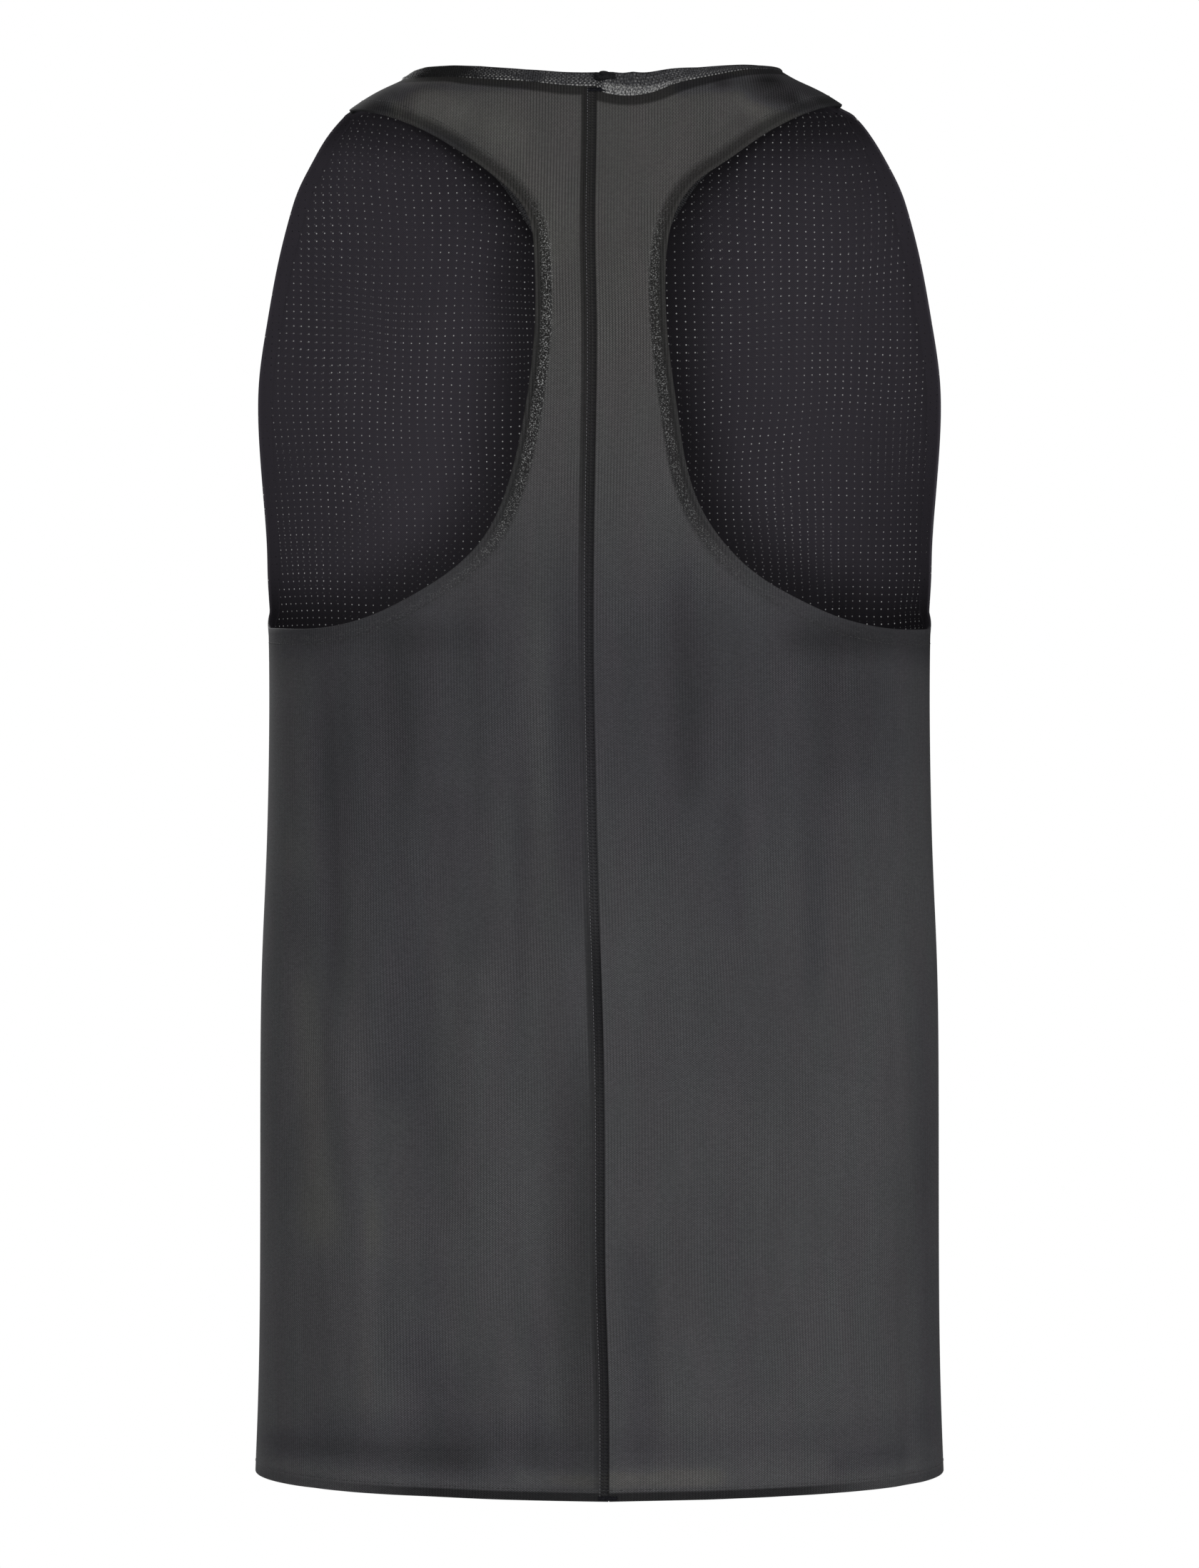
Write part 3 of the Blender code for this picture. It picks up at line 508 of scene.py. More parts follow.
def places_between(side, outer, inner, net):
    """A panel's places, as turn and level: in each row, from the outer rail to the inner rail.

    No row bows at the hem or in the strap, and those beside the underarm bow fully.
    """
    row = np.arange(net.rows)
    rise = soft_step(row / net.body)
    fall = soft_step((net.neck_row - row) / (net.neck_row - net.body) * STRAP_BOW_FADE)
    bow = ROW_BOW * np.where(row < net.body, rise, fall)[:, None]
    share = np.linspace(0, 1, ROW_STEPS)
    run = inner - outer
    turns = outer[:, :1] + run[:, :1] * share
    levels = outer[:, 1:] + run[:, 1:] * (share + bow * (1 - share) * share)
    places = []
    for way in np.stack([turns, levels], -1):
        length = lengths(section(side, *way.T))
        even = np.interp(np.linspace(0, length[-1], net.columns + 1), length, share)
        places.append(along_line(even, share, way))
    return np.array(places)


class Half:
    """One half of the back or front: its rails, net and places, as turns and levels."""

    def __init__(self, side, back):
        self.side, self.middle = side, 90 if back else -90
        gap = SEAM_GAP / 2
        if back:
            self.net, edge = BACK_NET, BACK_ARMHOLE[side]
            forward, split = SEAM_FORWARD - gap, YOKE_SHARE
            turns = turn_at_across(edge["across"], edge["level"])
            inner = BACK_CHEST_LEVEL, BACK_NECK[side], self.back_centre, turn_at_across
        else:
            self.net, edge = FRONT_NET, FRONT_ARMHOLE
            forward, split = SEAM_FORWARD + gap, STRAP_SHARE
            turns = turn_at_forward(edge["forward"], edge["level"])
            inner = FRONT_CHEST_LEVEL, FRONT_NECK, self.front_centre, front_turn_at_across
        self.outer = outer_rail(side, forward, turns, edge["level"], split, self.net)
        self.inner = inner_rail(side, forward, *inner, self.net)
        self.places = places_between(side, self.outer, self.inner, self.net)
        # whether a grid from the outer to the inner rail has to be turned to face outwards
        self.flip = (self.inner[0, 0] > self.outer[0, 0]) == (side < 0)

    def back_centre(self, levels):
        return turn_at_across(self.side * seam_across(levels) + SEAM_GAP / 2, levels)

    def front_centre(self, levels):
        return np.full(len(levels), -90.0)

    def centre_line(self):
        """The centre seam below the neck, and places of the panel beside it."""
        rows = slice(0, self.net.neck_row + 1)
        return self.inner[rows], self.places[rows, -4]


# ------------------------------------------------------------------------------------ mesh help


def clear_selection():
    if bpy.context.object and bpy.context.object.mode != "OBJECT":
        bpy.ops.object.mode_set(mode="OBJECT")
    bpy.ops.object.select_all(action="DESELECT")


def make_active(thing):
    clear_selection()
    thing.select_set(True)
    bpy.context.view_layer.objects.active = thing


def new_object(name, points, faces):
    mesh = bpy.data.meshes.new(name)
    mesh.from_pydata(points.tolist(), [], faces)
    thing = bpy.data.objects.new(name, mesh)
    bpy.context.collection.objects.link(thing)
    make_active(thing)
    return thing


def put_values(mesh, name, values):
    """Keeps a value for each point of the mesh, for its material to read."""
    layer = mesh.attributes.new(name, "FLOAT", "POINT")
    layer.data.foreach_set("value", values.astype(np.float32))


class Sheet:
    """Points, faces, map coordinates and named values of one sheet or of several that are joined."""

    def __init__(self, names=("armhole", "neck", "hem", "side", "shoulder"), tones=()):
        self.points, self.faces, self.maps, self.count = [], [], [], 0
        self.values = {name: [] for name in (*names, *(["tone"] if tones else []))}
        self.tones = tones

    def add_grid(self, points, maps, flip, values):
        """A grid of rows and columns of points, in millimetres."""
        rows, columns = points.shape[:2]
        number = np.arange(rows * columns).reshape(rows, columns) + self.count
        quads = np.stack([number[:-1, :-1], number[:-1, 1:], number[1:, 1:], number[1:, :-1]], -1)
        quads = quads.reshape(-1, 4)
        self.faces.append(quads[:, ::-1] if flip else quads)
        self.points.append(points.reshape(-1, 3) * MM)
        self.maps.append(maps.reshape(-1, 2))
        if self.tones:
            values = {**values, "tone": drape(points, self.tones)}
        for name, parts in self.values.items():
            parts.append(np.broadcast_to(values.get(name, FAR), points.shape[:2]).reshape(-1))
        self.count += rows * columns

    def make(self, name):
        thing = new_object(name, np.concatenate(self.points), np.concatenate(self.faces).tolist())
        mesh = thing.data
        layer = mesh.uv_layers.new(name="cloth")
        corners = np.zeros(len(mesh.loops), np.int64)
        mesh.loops.foreach_get("vertex_index", corners)
        layer.data.foreach_set("uv", np.concatenate(self.maps)[corners].astype(np.float32).ravel())
        for key, parts in self.values.items():
            put_values(mesh, key, np.concatenate(parts))
        bpy.ops.object.mode_set(mode="EDIT")
        bpy.ops.mesh.select_all(action="SELECT")
        bpy.ops.mesh.remove_doubles(threshold=MERGE)
        bpy.ops.object.mode_set(mode="OBJECT")
        return thing


def thicken(thing, wall, offset=-1):
    """Gives a sheet its wall, inwards from the outer face, and smooth shading."""
    make_active(thing)
    shell = thing.modifiers.new("wall", "SOLIDIFY")
    shell.thickness, shell.offset, shell.use_rim = wall, offset, True
    bpy.ops.object.modifier_apply(modifier="wall")
    bpy.ops.object.shade_smooth_by_angle(angle=SMOOTH_ANGLE)


def shade_inside(thing):
    """Marks how much of the light that comes in behind misses each part of a front's inner face."""
    mesh = thing.data
    points, out = np.zeros(len(mesh.vertices) * 3), np.zeros(len(mesh.vertices) * 3)
    mesh.vertices.foreach_get("co", points)
    mesh.vertices.foreach_get("normal", out)
    points, out = points.reshape(-1, 3) / MM, out.reshape(-1, 3)
    shade = np.zeros(len(points))
    distance, height = SHADE_SOURCE
    nearer = (distance - SHADE_EDGE) / (distance - points[:, 1])
    for side in (1, -1):
        edge = np.stack([BACK_ARMHOLE[side]["across"], BACK_ARMHOLE[side]["level"]], -1)
        place = np.stack([points[:, 0] * side * nearer, (points[:, 2] - height) * nearer + height], -1)
        upward = edge[np.argsort(edge[:, 1])]
        open_from = np.interp(place[:, 1], upward[:, 1], upward[:, 0])
        beyond = (place[:, 0] < open_from) | (place[:, 1] < upward[0, 1])
        reach = np.interp(place[:, 1], SHADE_NARROWS, (SHADE_REACH, SHADE_REACH / 4))
        dim = np.where(beyond, 1.0, soft_step(1 - nearest_distance(place, edge) / reach))
        strap = soft_step((points[:, 2] - STRAP_SHADE_LEVEL) / STRAP_SHADE_FADE)
        dim = np.maximum(dim, STRAP_SHADE * strap)
        shade = np.where(points[:, 0] * side > 0, dim, shade)
    put_values(mesh, "shade", shade * soft_step(out[:, 1] / 0.3))


# ----------------------------------------------------------------------------- edges and strips


def edge_moves(side, line, toward):
    """How turn and level change for each millimetre from an edge line into the panel."""
    turn, level = line.T
    here = section(side, turn, level)
    into = np.cross(normal(side, turn, level), unit(np.gradient(here, axis=0)))
    into *= np.sign(dot(into, section(side, *toward.T) - here))[:, None]
    by_turn, by_level = slopes(side, turn, level)
    a, b, c = dot(by_turn, by_turn), dot(by_turn, by_level), dot(by_level, by_level)
    p, q = dot(by_turn, into), dot(by_level, into)
    return np.stack([p * c - q * b, q * a - p * b], -1) / (a * c - b * b)[:, None]


def add_strip(sheet, half, line, toward, profile, flip, stretch, shift, kind=None, extra_depth=0.0):
    """Cloth beside an edge line. Each step of its profile is a distance into the panel and a depth."""
    away, deep = np.array(profile).T
    places = line[:, None] + edge_moves(half.side, line, toward)[:, None] * away[:, None]
    deep = deep + np.asarray(extra_depth)[..., None] * np.clip(away / 2, 0, 1)
    points = cloth(half.side, places[..., 0], places[..., 1], deep)
    maps = cloth_map(half.side, places[..., 0], places[..., 1], half.middle) * stretch + shift
    sheet.add_grid(points, maps, flip, {kind: np.clip(away, 0, None)})


def add_turning(sheet, half, line, toward, width, flip, kind, extra_depth=0.0):
    """Cloth that rolls over an edge, where its first column is, and lies under the panel."""
    angles = np.radians(range(0, 181, 36))
    profile = [(-0.6 * ROLL * math.sin(a), ROLL - ROLL * math.cos(a)) for a in angles]
    profile += [(width * k / TURNING_COLUMNS, 2 * ROLL) for k in range(1, TURNING_COLUMNS + 1)]
    add_strip(sheet, half, line, toward, profile, flip, TURNING_STRETCH, TURNING_SHIFT, kind, extra_depth)


def add_panel(sheet, half):
    """One half of the body: its face and every turning that is sewn on it."""
    side, net, flip, places = half.side, half.net, half.flip, half.places
    turn, level = places[..., 0], places[..., 1]
    points = cloth(side, turn, level)
    edges = {
        "armhole": half.outer[net.body :: 2],
        "neck": half.inner[net.neck_row :: 2],
        "hem": places[0, ::3],
        "side": half.outer[: net.body + 1 : 4],
        "shoulder": places[-1, ::3],
    }
    values = {name: nearest_distance(points, cloth(side, *line.T)) for name, line in edges.items()}
    sheet.add_grid(points, cloth_map(side, turn, level, half.middle), flip, values)
    below, beside = slice(0, net.body + 1), slice(net.body, None)
    add_turning(sheet, half, places[below, 0], places[below, 3], TURNING, not flip, "side")
    add_turning(sheet, half, places[beside, 0], places[beside, 3], TURNING, not flip, "armhole")
    along = lengths(points[0])
    from_end = np.minimum(along, along[-1] - along)
    stack = HEM_STACK * soft_step(1 - (from_end - TURNING) / HEM_STACK_FADE)
    add_turning(sheet, half, places[0], places[3], HEM_TURNING, flip, "hem", stack)
    add_turning(sheet, half, places[-1], places[-4], HEM_TURNING, not flip, "shoulder", SHOULDER_STACK)
    neck = slice(net.neck_row, None)
    add_turning(sheet, half, half.inner[neck], places[neck, -4], NECK_ALLOWANCE, flip, "neck")


def neck_ring(count):
    """Even stations round the neck: points on the cloth, ways out, up along the cloth and up the band.

    They start at the front's centre and pass over the left shoulder, the back and the right shoulder.
    """
    points, out = [], []
    for side in (1, -1):
        front, back = Half(side, False), Half(side, True)
        shoulder = turn_at_forward(SEAM_FORWARD, NECK_POINT_LEVEL[side]), NECK_POINT_LEVEL[side]
        front, back = front.inner[front.net.neck_row : -1], back.inner[back.net.neck_row : -1]
        turn, level = np.concatenate([front, [shoulder], back[::-1]]).T
        here, away = cloth(side, turn, level), normal(side, turn, level)
        points.append(here if side > 0 else here[::-1][1:])
        out.append(away if side > 0 else away[::-1][1:])
    points, out = np.concatenate(points), np.concatenate(out)[:-1]
    for _ in range(NECK_ROUNDS):
        out = (np.roll(out, 1, 0) + 2 * out + np.roll(out, -1, 0)) / 4
    total = lengths(points)
    shares = np.arange(count) / count
    points = along_line(shares, total / total[-1], points)
    out = unit(along_line(shares, total / total[-1], np.concatenate([out, out[:1]])))
    run = unit(np.roll(points, -NECK_SPAN, 0) - np.roll(points, NECK_SPAN, 0))
    up = unit(np.cross(run, out))
    up[up[:, 2] < 0] *= -1
    stand = np.interp(shares, BAND["share"], BAND["stand"])[:, None]
    upright = up * (1 - stand) + np.array([0, 0, 1]) * stand
    upright = unit(upright - run * dot(upright, run)[:, None])
    return points, out, up, upright, shares, total[-1]


# ------------------------------------------------------------------------------------ materials


class Wire:
    """A node's output. Sums and products with it add the nodes that work them out."""

    def __init__(self, graph, socket):
        self.graph, self.socket = graph, socket

    def __add__(self, other):
        return self.graph.math("ADD", self, other)

    def __mul__(self, other):
        return self.graph.math("MULTIPLY", self, other)

    def __sub__(self, other):
        return self.graph.math("SUBTRACT", self, other)

    def __rsub__(self, other):
        return self.graph.math("SUBTRACT", other, self)

    def __truediv__(self, other):
        return self.graph.math("DIVIDE", self, other)

    def __abs__(self):
        return self.graph.math("ABSOLUTE", self)

    __radd__, __rmul__ = __add__, __mul__


class Graph:
    """Adds nodes to a material, a world or a group. Inputs are wires or plain values."""

    def __init__(self, tree):
        self.tree, self.place = tree, 0

    def node(self, kind, **settings):
        made = self.tree.nodes.new(kind)
        made.location = (self.place * 190, -(self.place % 5) * 140)
        self.place += 1
        for name, value in settings.items():
            setattr(made, name, value)
        return made

    def put(self, socket, value):
        if isinstance(value, Wire):
            self.tree.links.new(value.socket, socket)
        else:
            socket.default_value = value

    def wired(self, kind, inputs=(), output=0, **settings):
        """One output of a new node. Its inputs are given in order or by name."""
        made = self.node(kind, **settings)
        for name, value in inputs.items() if isinstance(inputs, dict) else enumerate(inputs):
            self.put(made.inputs[name], value)
        return Wire(self, made.outputs[output])

    def math(self, operation, *inputs):
        return self.wired("ShaderNodeMath", inputs, operation=operation)

    def vector(self, operation, *inputs):
        output = "Value" if operation == "LENGTH" else "Vector"
        return self.wired("ShaderNodeVectorMath", inputs, output, operation=operation)

    def scale(self, color, factor):
        return self.wired("ShaderNodeVectorMath", {0: color, "Scale": factor}, operation="SCALE")

    def combine(self, x, y, z=0.0):
        return self.wired("ShaderNodeCombineXYZ", (x, y, z))

    def split(self, vector):
        made = self.node("ShaderNodeSeparateXYZ")
        self.put(made.inputs[0], vector)
        return Wire(self, made.outputs[0]), Wire(self, made.outputs[1])

    def ramp(self, value, low, high, to_low=0.0, to_high=1.0, kind="SMOOTHSTEP"):
        """A soft change between two values, and none outside them."""
        inputs = {"Value": value, "From Min": low, "From Max": high, "To Min": to_low, "To Max": to_high}
        return self.wired("ShaderNodeMapRange", inputs, "Result", interpolation_type=kind)

    def line(self, value, to_low, to_high, low=0.0, high=1.0):
        """A straight change."""
        return self.ramp(value, low, high, to_low, to_high, "LINEAR")

    def fall(self, value, low, high, top=1.0):
        """A soft fall to 0."""
        return self.ramp(value, low, high, top, 0.0)

    def between(self, value, start, full, fade, end):
        """A soft rise to 1, and a soft fall after it."""
        return self.ramp(value, start, full) * self.fall(value, fade, end)

    def near(self, value, centre, inner, outer, top=1.0):
        """The top value close to the centre, and 0 far from it."""
        return self.fall(abs(value - centre), inner, outer, top)

    def most(self, first, *others):
        for other in others:
            first = self.math("MAXIMUM", first, other)
        return first

    def curve(self, value, *stops):
        """A smooth curve through stops between 0 and 1."""
        made = self.node("ShaderNodeFloatCurve")
        self.put(made.inputs["Value"], value)
        points = made.mapping.curves[0].points
        points[0].location, points[1].location = stops[0], stops[-1]
        for stop in stops[1:-1]:
            points.new(*stop)
        made.mapping.update()
        return Wire(self, made.outputs[0])

    def noise(self, vector, scale, detail=2.0, roughness=0.5, stretch=None, shift=None):
        for operation, value in (("MULTIPLY", stretch), ("ADD", shift)):
            if value:
                vector = self.vector(operation, vector, value)
        inputs = {"Vector": vector, "Scale": scale, "Detail": detail, "Roughness": roughness}
        return self.wired("ShaderNodeTexNoise", inputs, "Fac", noise_dimensions="3D")

    def random(self, vector):
        return self.wired("ShaderNodeTexWhiteNoise", {"Vector": vector}, "Value", noise_dimensions="3D")

    def mix(self, share, first, second):
        first, second = (color if isinstance(color, Wire) else (*color, 1.0) for color in (first, second))
        inputs = {0: share, 6: first, 7: second}
        return self.wired("ShaderNodeMix", inputs, 2, data_type="RGBA", blend_type="MIX")

    def attribute(self, name):
        return self.wired("ShaderNodeAttribute", output="Fac", attribute_name=name)

    def cloth_place(self):
        return self.wired("ShaderNodeUVMap", output="UV", uv_map="cloth")

    def object_place(self):
        return self.wired("ShaderNodeTexCoord", output="Object")

    def group(self, name, **values):
        """The outputs of a shared group, by name."""
        tree = bpy.data.node_groups.get(name) or GROUPS[name](name)
        made = self.node("ShaderNodeGroup", node_tree=tree)
        for key, value in values.items():
            self.put(made.inputs[key.replace("_", " ").capitalize()], value)
        return {socket.name: Wire(self, socket) for socket in made.outputs}

    def zone(self, distance, width, feather):
        return self.group("edge zone", distance=distance, width=width, feather=feather)["Zone"]

    def bump(self, height, strength, distance):
        inputs = {"Strength": strength, "Distance": distance, "Height": height}
        return self.wired("ShaderNodeBump", inputs)


def new_group(name, inputs, outputs):
    """A group, its graph, its inputs and where its results go. An input without a default is a vector."""
    tree = bpy.data.node_groups.new(name, "ShaderNodeTree")
    for label, value in inputs.items():
        kind = "NodeSocketVector" if value is None else "NodeSocketFloat"
        socket = tree.interface.new_socket(name=label, in_out="INPUT", socket_type=kind)
        if value is not None:
            socket.default_value = value
    for label in outputs:
        tree.interface.new_socket(name=label, in_out="OUTPUT", socket_type="NodeSocketFloat")
    graph = Graph(tree)
    given = {socket.name: Wire(graph, socket) for socket in graph.node("NodeGroupInput").outputs}
    return tree, graph, given, graph.node("NodeGroupOutput").inputs


def hole_lattice_group(name):
    """Rows of small oval holes, each row moved sideways by a share of the pitch."""
    inputs = {
        "Map": None, "Pitch": 0.00147, "Row pitch": 0.00043, "Stagger": 0.5,
        "Hole width": 0.0003, "Hole height": 0.00018, "Softness": 0.3,
    }
    tree, graph, given, result = new_group(name, inputs, ("Hole", "Random"))
    u, v = graph.split(given["Map"])
    y = v / given["Row pitch"]
    row = graph.math("FLOOR", y)
    x = u / given["Pitch"] + graph.math("FLOORED_MODULO", row, 2.0) * given["Stagger"]
    column = graph.math("FLOOR", x)
    a = (x - column - 0.5) * given["Pitch"] / given["Hole width"]
    b = (y - row - 0.5) * given["Row pitch"] / given["Hole height"]
    away = graph.vector("LENGTH", graph.combine(a, b))
    graph.put(result["Hole"], graph.fall(away, 1.0 - given["Softness"], 1.0 + given["Softness"]))
    graph.put(result["Random"], graph.random(graph.combine(column, row)))
    return tree


def glint_group(name):
    """Painted glints: tiny bright specks, here and there, in clusters."""
    inputs = {"Map": None, "Size": 0.0004, "Share": 0.1, "Cluster scale": 160.0}
    tree, graph, given, result = new_group(name, inputs, ("Glint",))
    place, size = given["Map"], given["Size"]
    cell = graph.vector("FLOOR", graph.vector("DIVIDE", place, graph.combine(size, size, 1.0)))
    cluster = graph.ramp(graph.noise(place, given["Cluster scale"], 1.0), 0.42, 0.68)
    over = graph.math("GREATER_THAN", graph.random(cell), 1.0 - given["Share"] * cluster)
    level = graph.random(graph.vector("ADD", cell, (7.0, 3.0, 1.0)))
    graph.put(result["Glint"], over * graph.line(level, 0.25, 1.0))
    return tree


def zone_group(name):
    """1 where a distance in millimetres is less than a width, with a soft edge."""
    inputs = {"Distance": FAR, "Width": 8.0, "Feather": 0.5}
    tree, graph, given, result = new_group(name, inputs, ("Zone",))
    low, high = given["Width"] - given["Feather"], given["Width"] + given["Feather"]
    graph.put(result["Zone"], graph.fall(given["Distance"], low, high))
    return tree


def tone_group(name):
    """A tone around 1 that varies in long soft streaks up the cloth and in wide clouds."""
    tree, graph, given, result = new_group(name, {"Map": None, "Streaks": 0.06, "Clouds": 0.05}, ("Tone",))
    thin = graph.noise(given["Map"], 110.0, 3.0, 0.6, stretch=(1.0, 0.12, 1.0))
    wide = graph.noise(given["Map"], 14.0, stretch=(1.0, 0.5, 1.0))
    tone = (thin - 0.5) * given["Streaks"] * 2.0 + (wide - 0.5) * given["Clouds"] * 2.0
    graph.put(result["Tone"], tone + 1.0)
    return tree


GROUPS = {
    "hole lattice": hole_lattice_group,
    "glints": glint_group,
    "edge zone": zone_group,
    "cloth tone": tone_group,
}


def new_material(name, roughness, specular):
    material = bpy.data.materials.new(name)
    material.use_nodes = True
    tree = material.node_tree
    shader = tree.nodes["Principled BSDF"]
    shader.inputs["Roughness"].default_value = roughness
    shader.inputs["Specular IOR Level"].default_value = specular
    shader.location = (2400, 0)
    tree.nodes["Material Output"].location = (2700, 0)
    return material, Graph(tree), shader.inputs


def open_alpha(graph, see):
    """Alpha of a sheet with a wall: what is open in the near face is open through the far one."""
    behind = graph.wired("ShaderNodeNewGeometry", output="Backfacing")
    return (1.0 - see) * (1.0 - behind)


def sheer_mesh_material(sizes, colors):
    """Fine warp knit mesh that a little light comes through, doubled at its turned edges, with painted glints
    there.
    """
    material, graph, shader = new_material("sheer mesh", 0.8, 0.03)
    place = graph.cloth_place()
    u, v = graph.split(place)
    armhole, lie_and_painted_shading = graph.attribute("armhole"), graph.attribute("tone")
    lattice = graph.group(
        "hole lattice", map=place, pitch=sizes.mesh_pitch, row_pitch=sizes.mesh_row, stagger=0.5,
        hole_width=0.00036, hole_height=0.00018, softness=0.4,
    )
    # the turnings are darkest beside the yoke, narrow over the shoulders and faint under the arms
    width = graph.curve(v, (0.0, 0.8), (0.58, 0.76), (0.63, 0.62), (0.66, 0.6), (1.0, 0.6))
    feather = graph.most(graph.ramp(v, 0.42, 0.5, 2.2, 0.8), graph.ramp(v, 0.6, 0.65, 0.8, 2.4))
    edge = graph.zone(armhole, width * 10.0, feather)
    strength = graph.curve(
        v, (0.0, 0.1), (0.43, 0.12), (0.46, 0.34), (0.5, 0.62), (0.57, 0.66), (0.62, 0.58), (0.66, 0.52),
        (0.7, 0.45), (1.0, 0.45),
    )
    edge_dark = edge * strength * graph.line(graph.zone(armhole, 1.3, 0.5), 1.0, 0.7)
    hem_dark = graph.zone(graph.attribute("hem"), 3.9, 0.7) * graph.ramp(abs(u), 0.08, 0.15, 0.7, 0.14)
    neck_dark = graph.zone(graph.attribute("neck"), NECK_ALLOWANCE, 1.0) * 0.6
    # the centre seam: a ridge between two rows of stitches, and the rest of its allowance
    ridge = graph.between(u, -0.0003, 0.0001, 0.0038, 0.0043)
    ridge_dark = graph.curve(
        v, (0.0, 0.62), (0.02, 0.62), (0.078, 0.7), (0.122, 0.66), (0.184, 0.56), (0.242, 0.7), (0.27, 0.57),
        (0.304, 0.37), (0.345, 0.4), (0.43, 0.51), (0.48, 0.63), (0.555, 0.62), (0.64, 0.6), (1.0, 0.52),
    )
    rest = graph.between(u, 0.0038, 0.0043, 0.0062, 0.0082)
    rest_dark = graph.curve(
        v, (0.0, 0.3), (0.02, 0.38), (0.078, 0.56), (0.122, 0.48), (0.184, 0.42), (0.242, 0.5), (0.304, 0.28),
        (0.37, 0.24), (0.43, 0.4), (0.48, 0.55), (0.555, 0.61), (0.64, 0.66), (1.0, 0.56),
    )
    # painted shadow lines along the ridge's two folded edges
    folds = graph.most(graph.near(u, 0.0001, 0.0002, 0.0006), graph.near(u, 0.0044, 0.0002, 0.0006, 0.8))
    seam_dark = ridge * ridge_dark + rest * rest_dark + folds * 0.16
    # painted shadow beside the ridge, strongest low on the back
    seam_side_shadow = graph.between(u, 0.0, 0.006, 0.006, 0.04) * graph.curve(
        v, (0.0, 0.14), (0.07, 0.36), (0.16, 0.36), (0.21, 0.16), (0.26, 0.0), (0.3, 0.12), (0.42, 0.14),
        (0.5, 0.0), (1.0, 0.0),
    )
    shoulder = graph.fall(graph.attribute("shoulder"), 14.0, 34.0, 0.42)
    underarm = graph.fall(graph.attribute("side"), 15.0, 75.0) * graph.fall(armhole, 6.0, 34.0)
    dark = graph.most(edge_dark, hem_dark, neck_dark, seam_dark, seam_side_shadow, shoulder, underarm * 0.3)
    doubled = graph.most(edge, ridge, rest, graph.ramp(neck_dark, 0.1, 0.3))
    # the wales and the lattice show best over the yoke
    tone = graph.group("cloth tone", map=place, streaks=0.10, clouds=0.12)["Tone"]
    least, greatest = graph.ramp(v, 0.44, 0.54, 0.06, 0.12), graph.ramp(v, 0.44, 0.54, 0.2, 0.34)
    wale_zone = graph.ramp(graph.noise(place, 22.0), 0.35, 0.65, least, greatest)
    wale = graph.math("SINE", u * (2 * math.pi / sizes.mesh_pitch)) * wale_zone + 1.0
    weave_zone = graph.ramp(graph.noise(place, 13.0, shift=(4.0, 1.0, 0.0)), 0.3, 0.7, 0.5, 1.15)
    weave_zone = weave_zone * graph.line(doubled, 1.0, 0.35)
    weave = (lattice["Hole"] * 4.0 - 0.9) * weave_zone * graph.ramp(v, 0.44, 0.54, 0.25, 0.34) + 1.0
    speck = graph.line(lattice["Random"], 0.9, 1.1)
    # the tone strokes, the mesh's lie with painted shade and painted light, scale its brightness
    bright = tone * wale * (weave * speck) * ((1.0 - dark) * (lie_and_painted_shading + 1.0))
    tint = graph.noise(place, 70.0, 1.0, stretch=(1.0, 0.25, 1.0))
    color = graph.mix(graph.ramp(v, 0.40, 0.62), colors.mesh, colors.yoke)
    # cooler where the tone strokes paint shade, warmer where they paint light, and faintly rosy or green in
    # random patches
    for share, cast in (
        (graph.ramp(lie_and_painted_shading, -0.2, 0.0, 0.7, 0.0), (0.0507, 0.0501, 0.056)),
        (graph.ramp(lie_and_painted_shading, 0.0, 0.15, 0.0, 0.7), (0.0574, 0.0563, 0.053)),
        (graph.ramp(tint, 0.4, 0.62, 0.0, 0.06), (0.063, 0.048, 0.055)),
        (graph.ramp(tint, 0.6, 0.38, 0.0, 0.04), (0.045, 0.058, 0.051)),
    ):
        color = graph.mix(share, color, cast)
    # painted glints along the turnings, most of them beside the yoke and on the left
    glint = graph.group("glints", map=place, size=0.00046, share=0.62, cluster_scale=1500.0)["Glint"]
    inside = graph.between(armhole, 1.8, 4.2, 6.6, 9.0)
    along = graph.curve(
        v, (0.0, 0.06), (0.42, 0.1), (0.46, 0.4), (0.5, 0.7), (0.57, 1.0), (0.61, 0.8), (0.64, 0.12),
        (1.0, 0.0),
    )
    glint = glint * inside * (along * graph.line(graph.ramp(u, -0.01, 0.01), 0.5, 0.8))
    graph.put(shader["Base Color"], graph.mix(glint, graph.scale(color, bright), (0.38, 0.385, 0.38)))
    graph.put(shader["Alpha"], open_alpha(graph, lattice["Hole"] * 0.008))
    graph.put(shader["Normal"], graph.bump(wale - lattice["Hole"] * 0.3, 0.3, 0.0002))
    return material


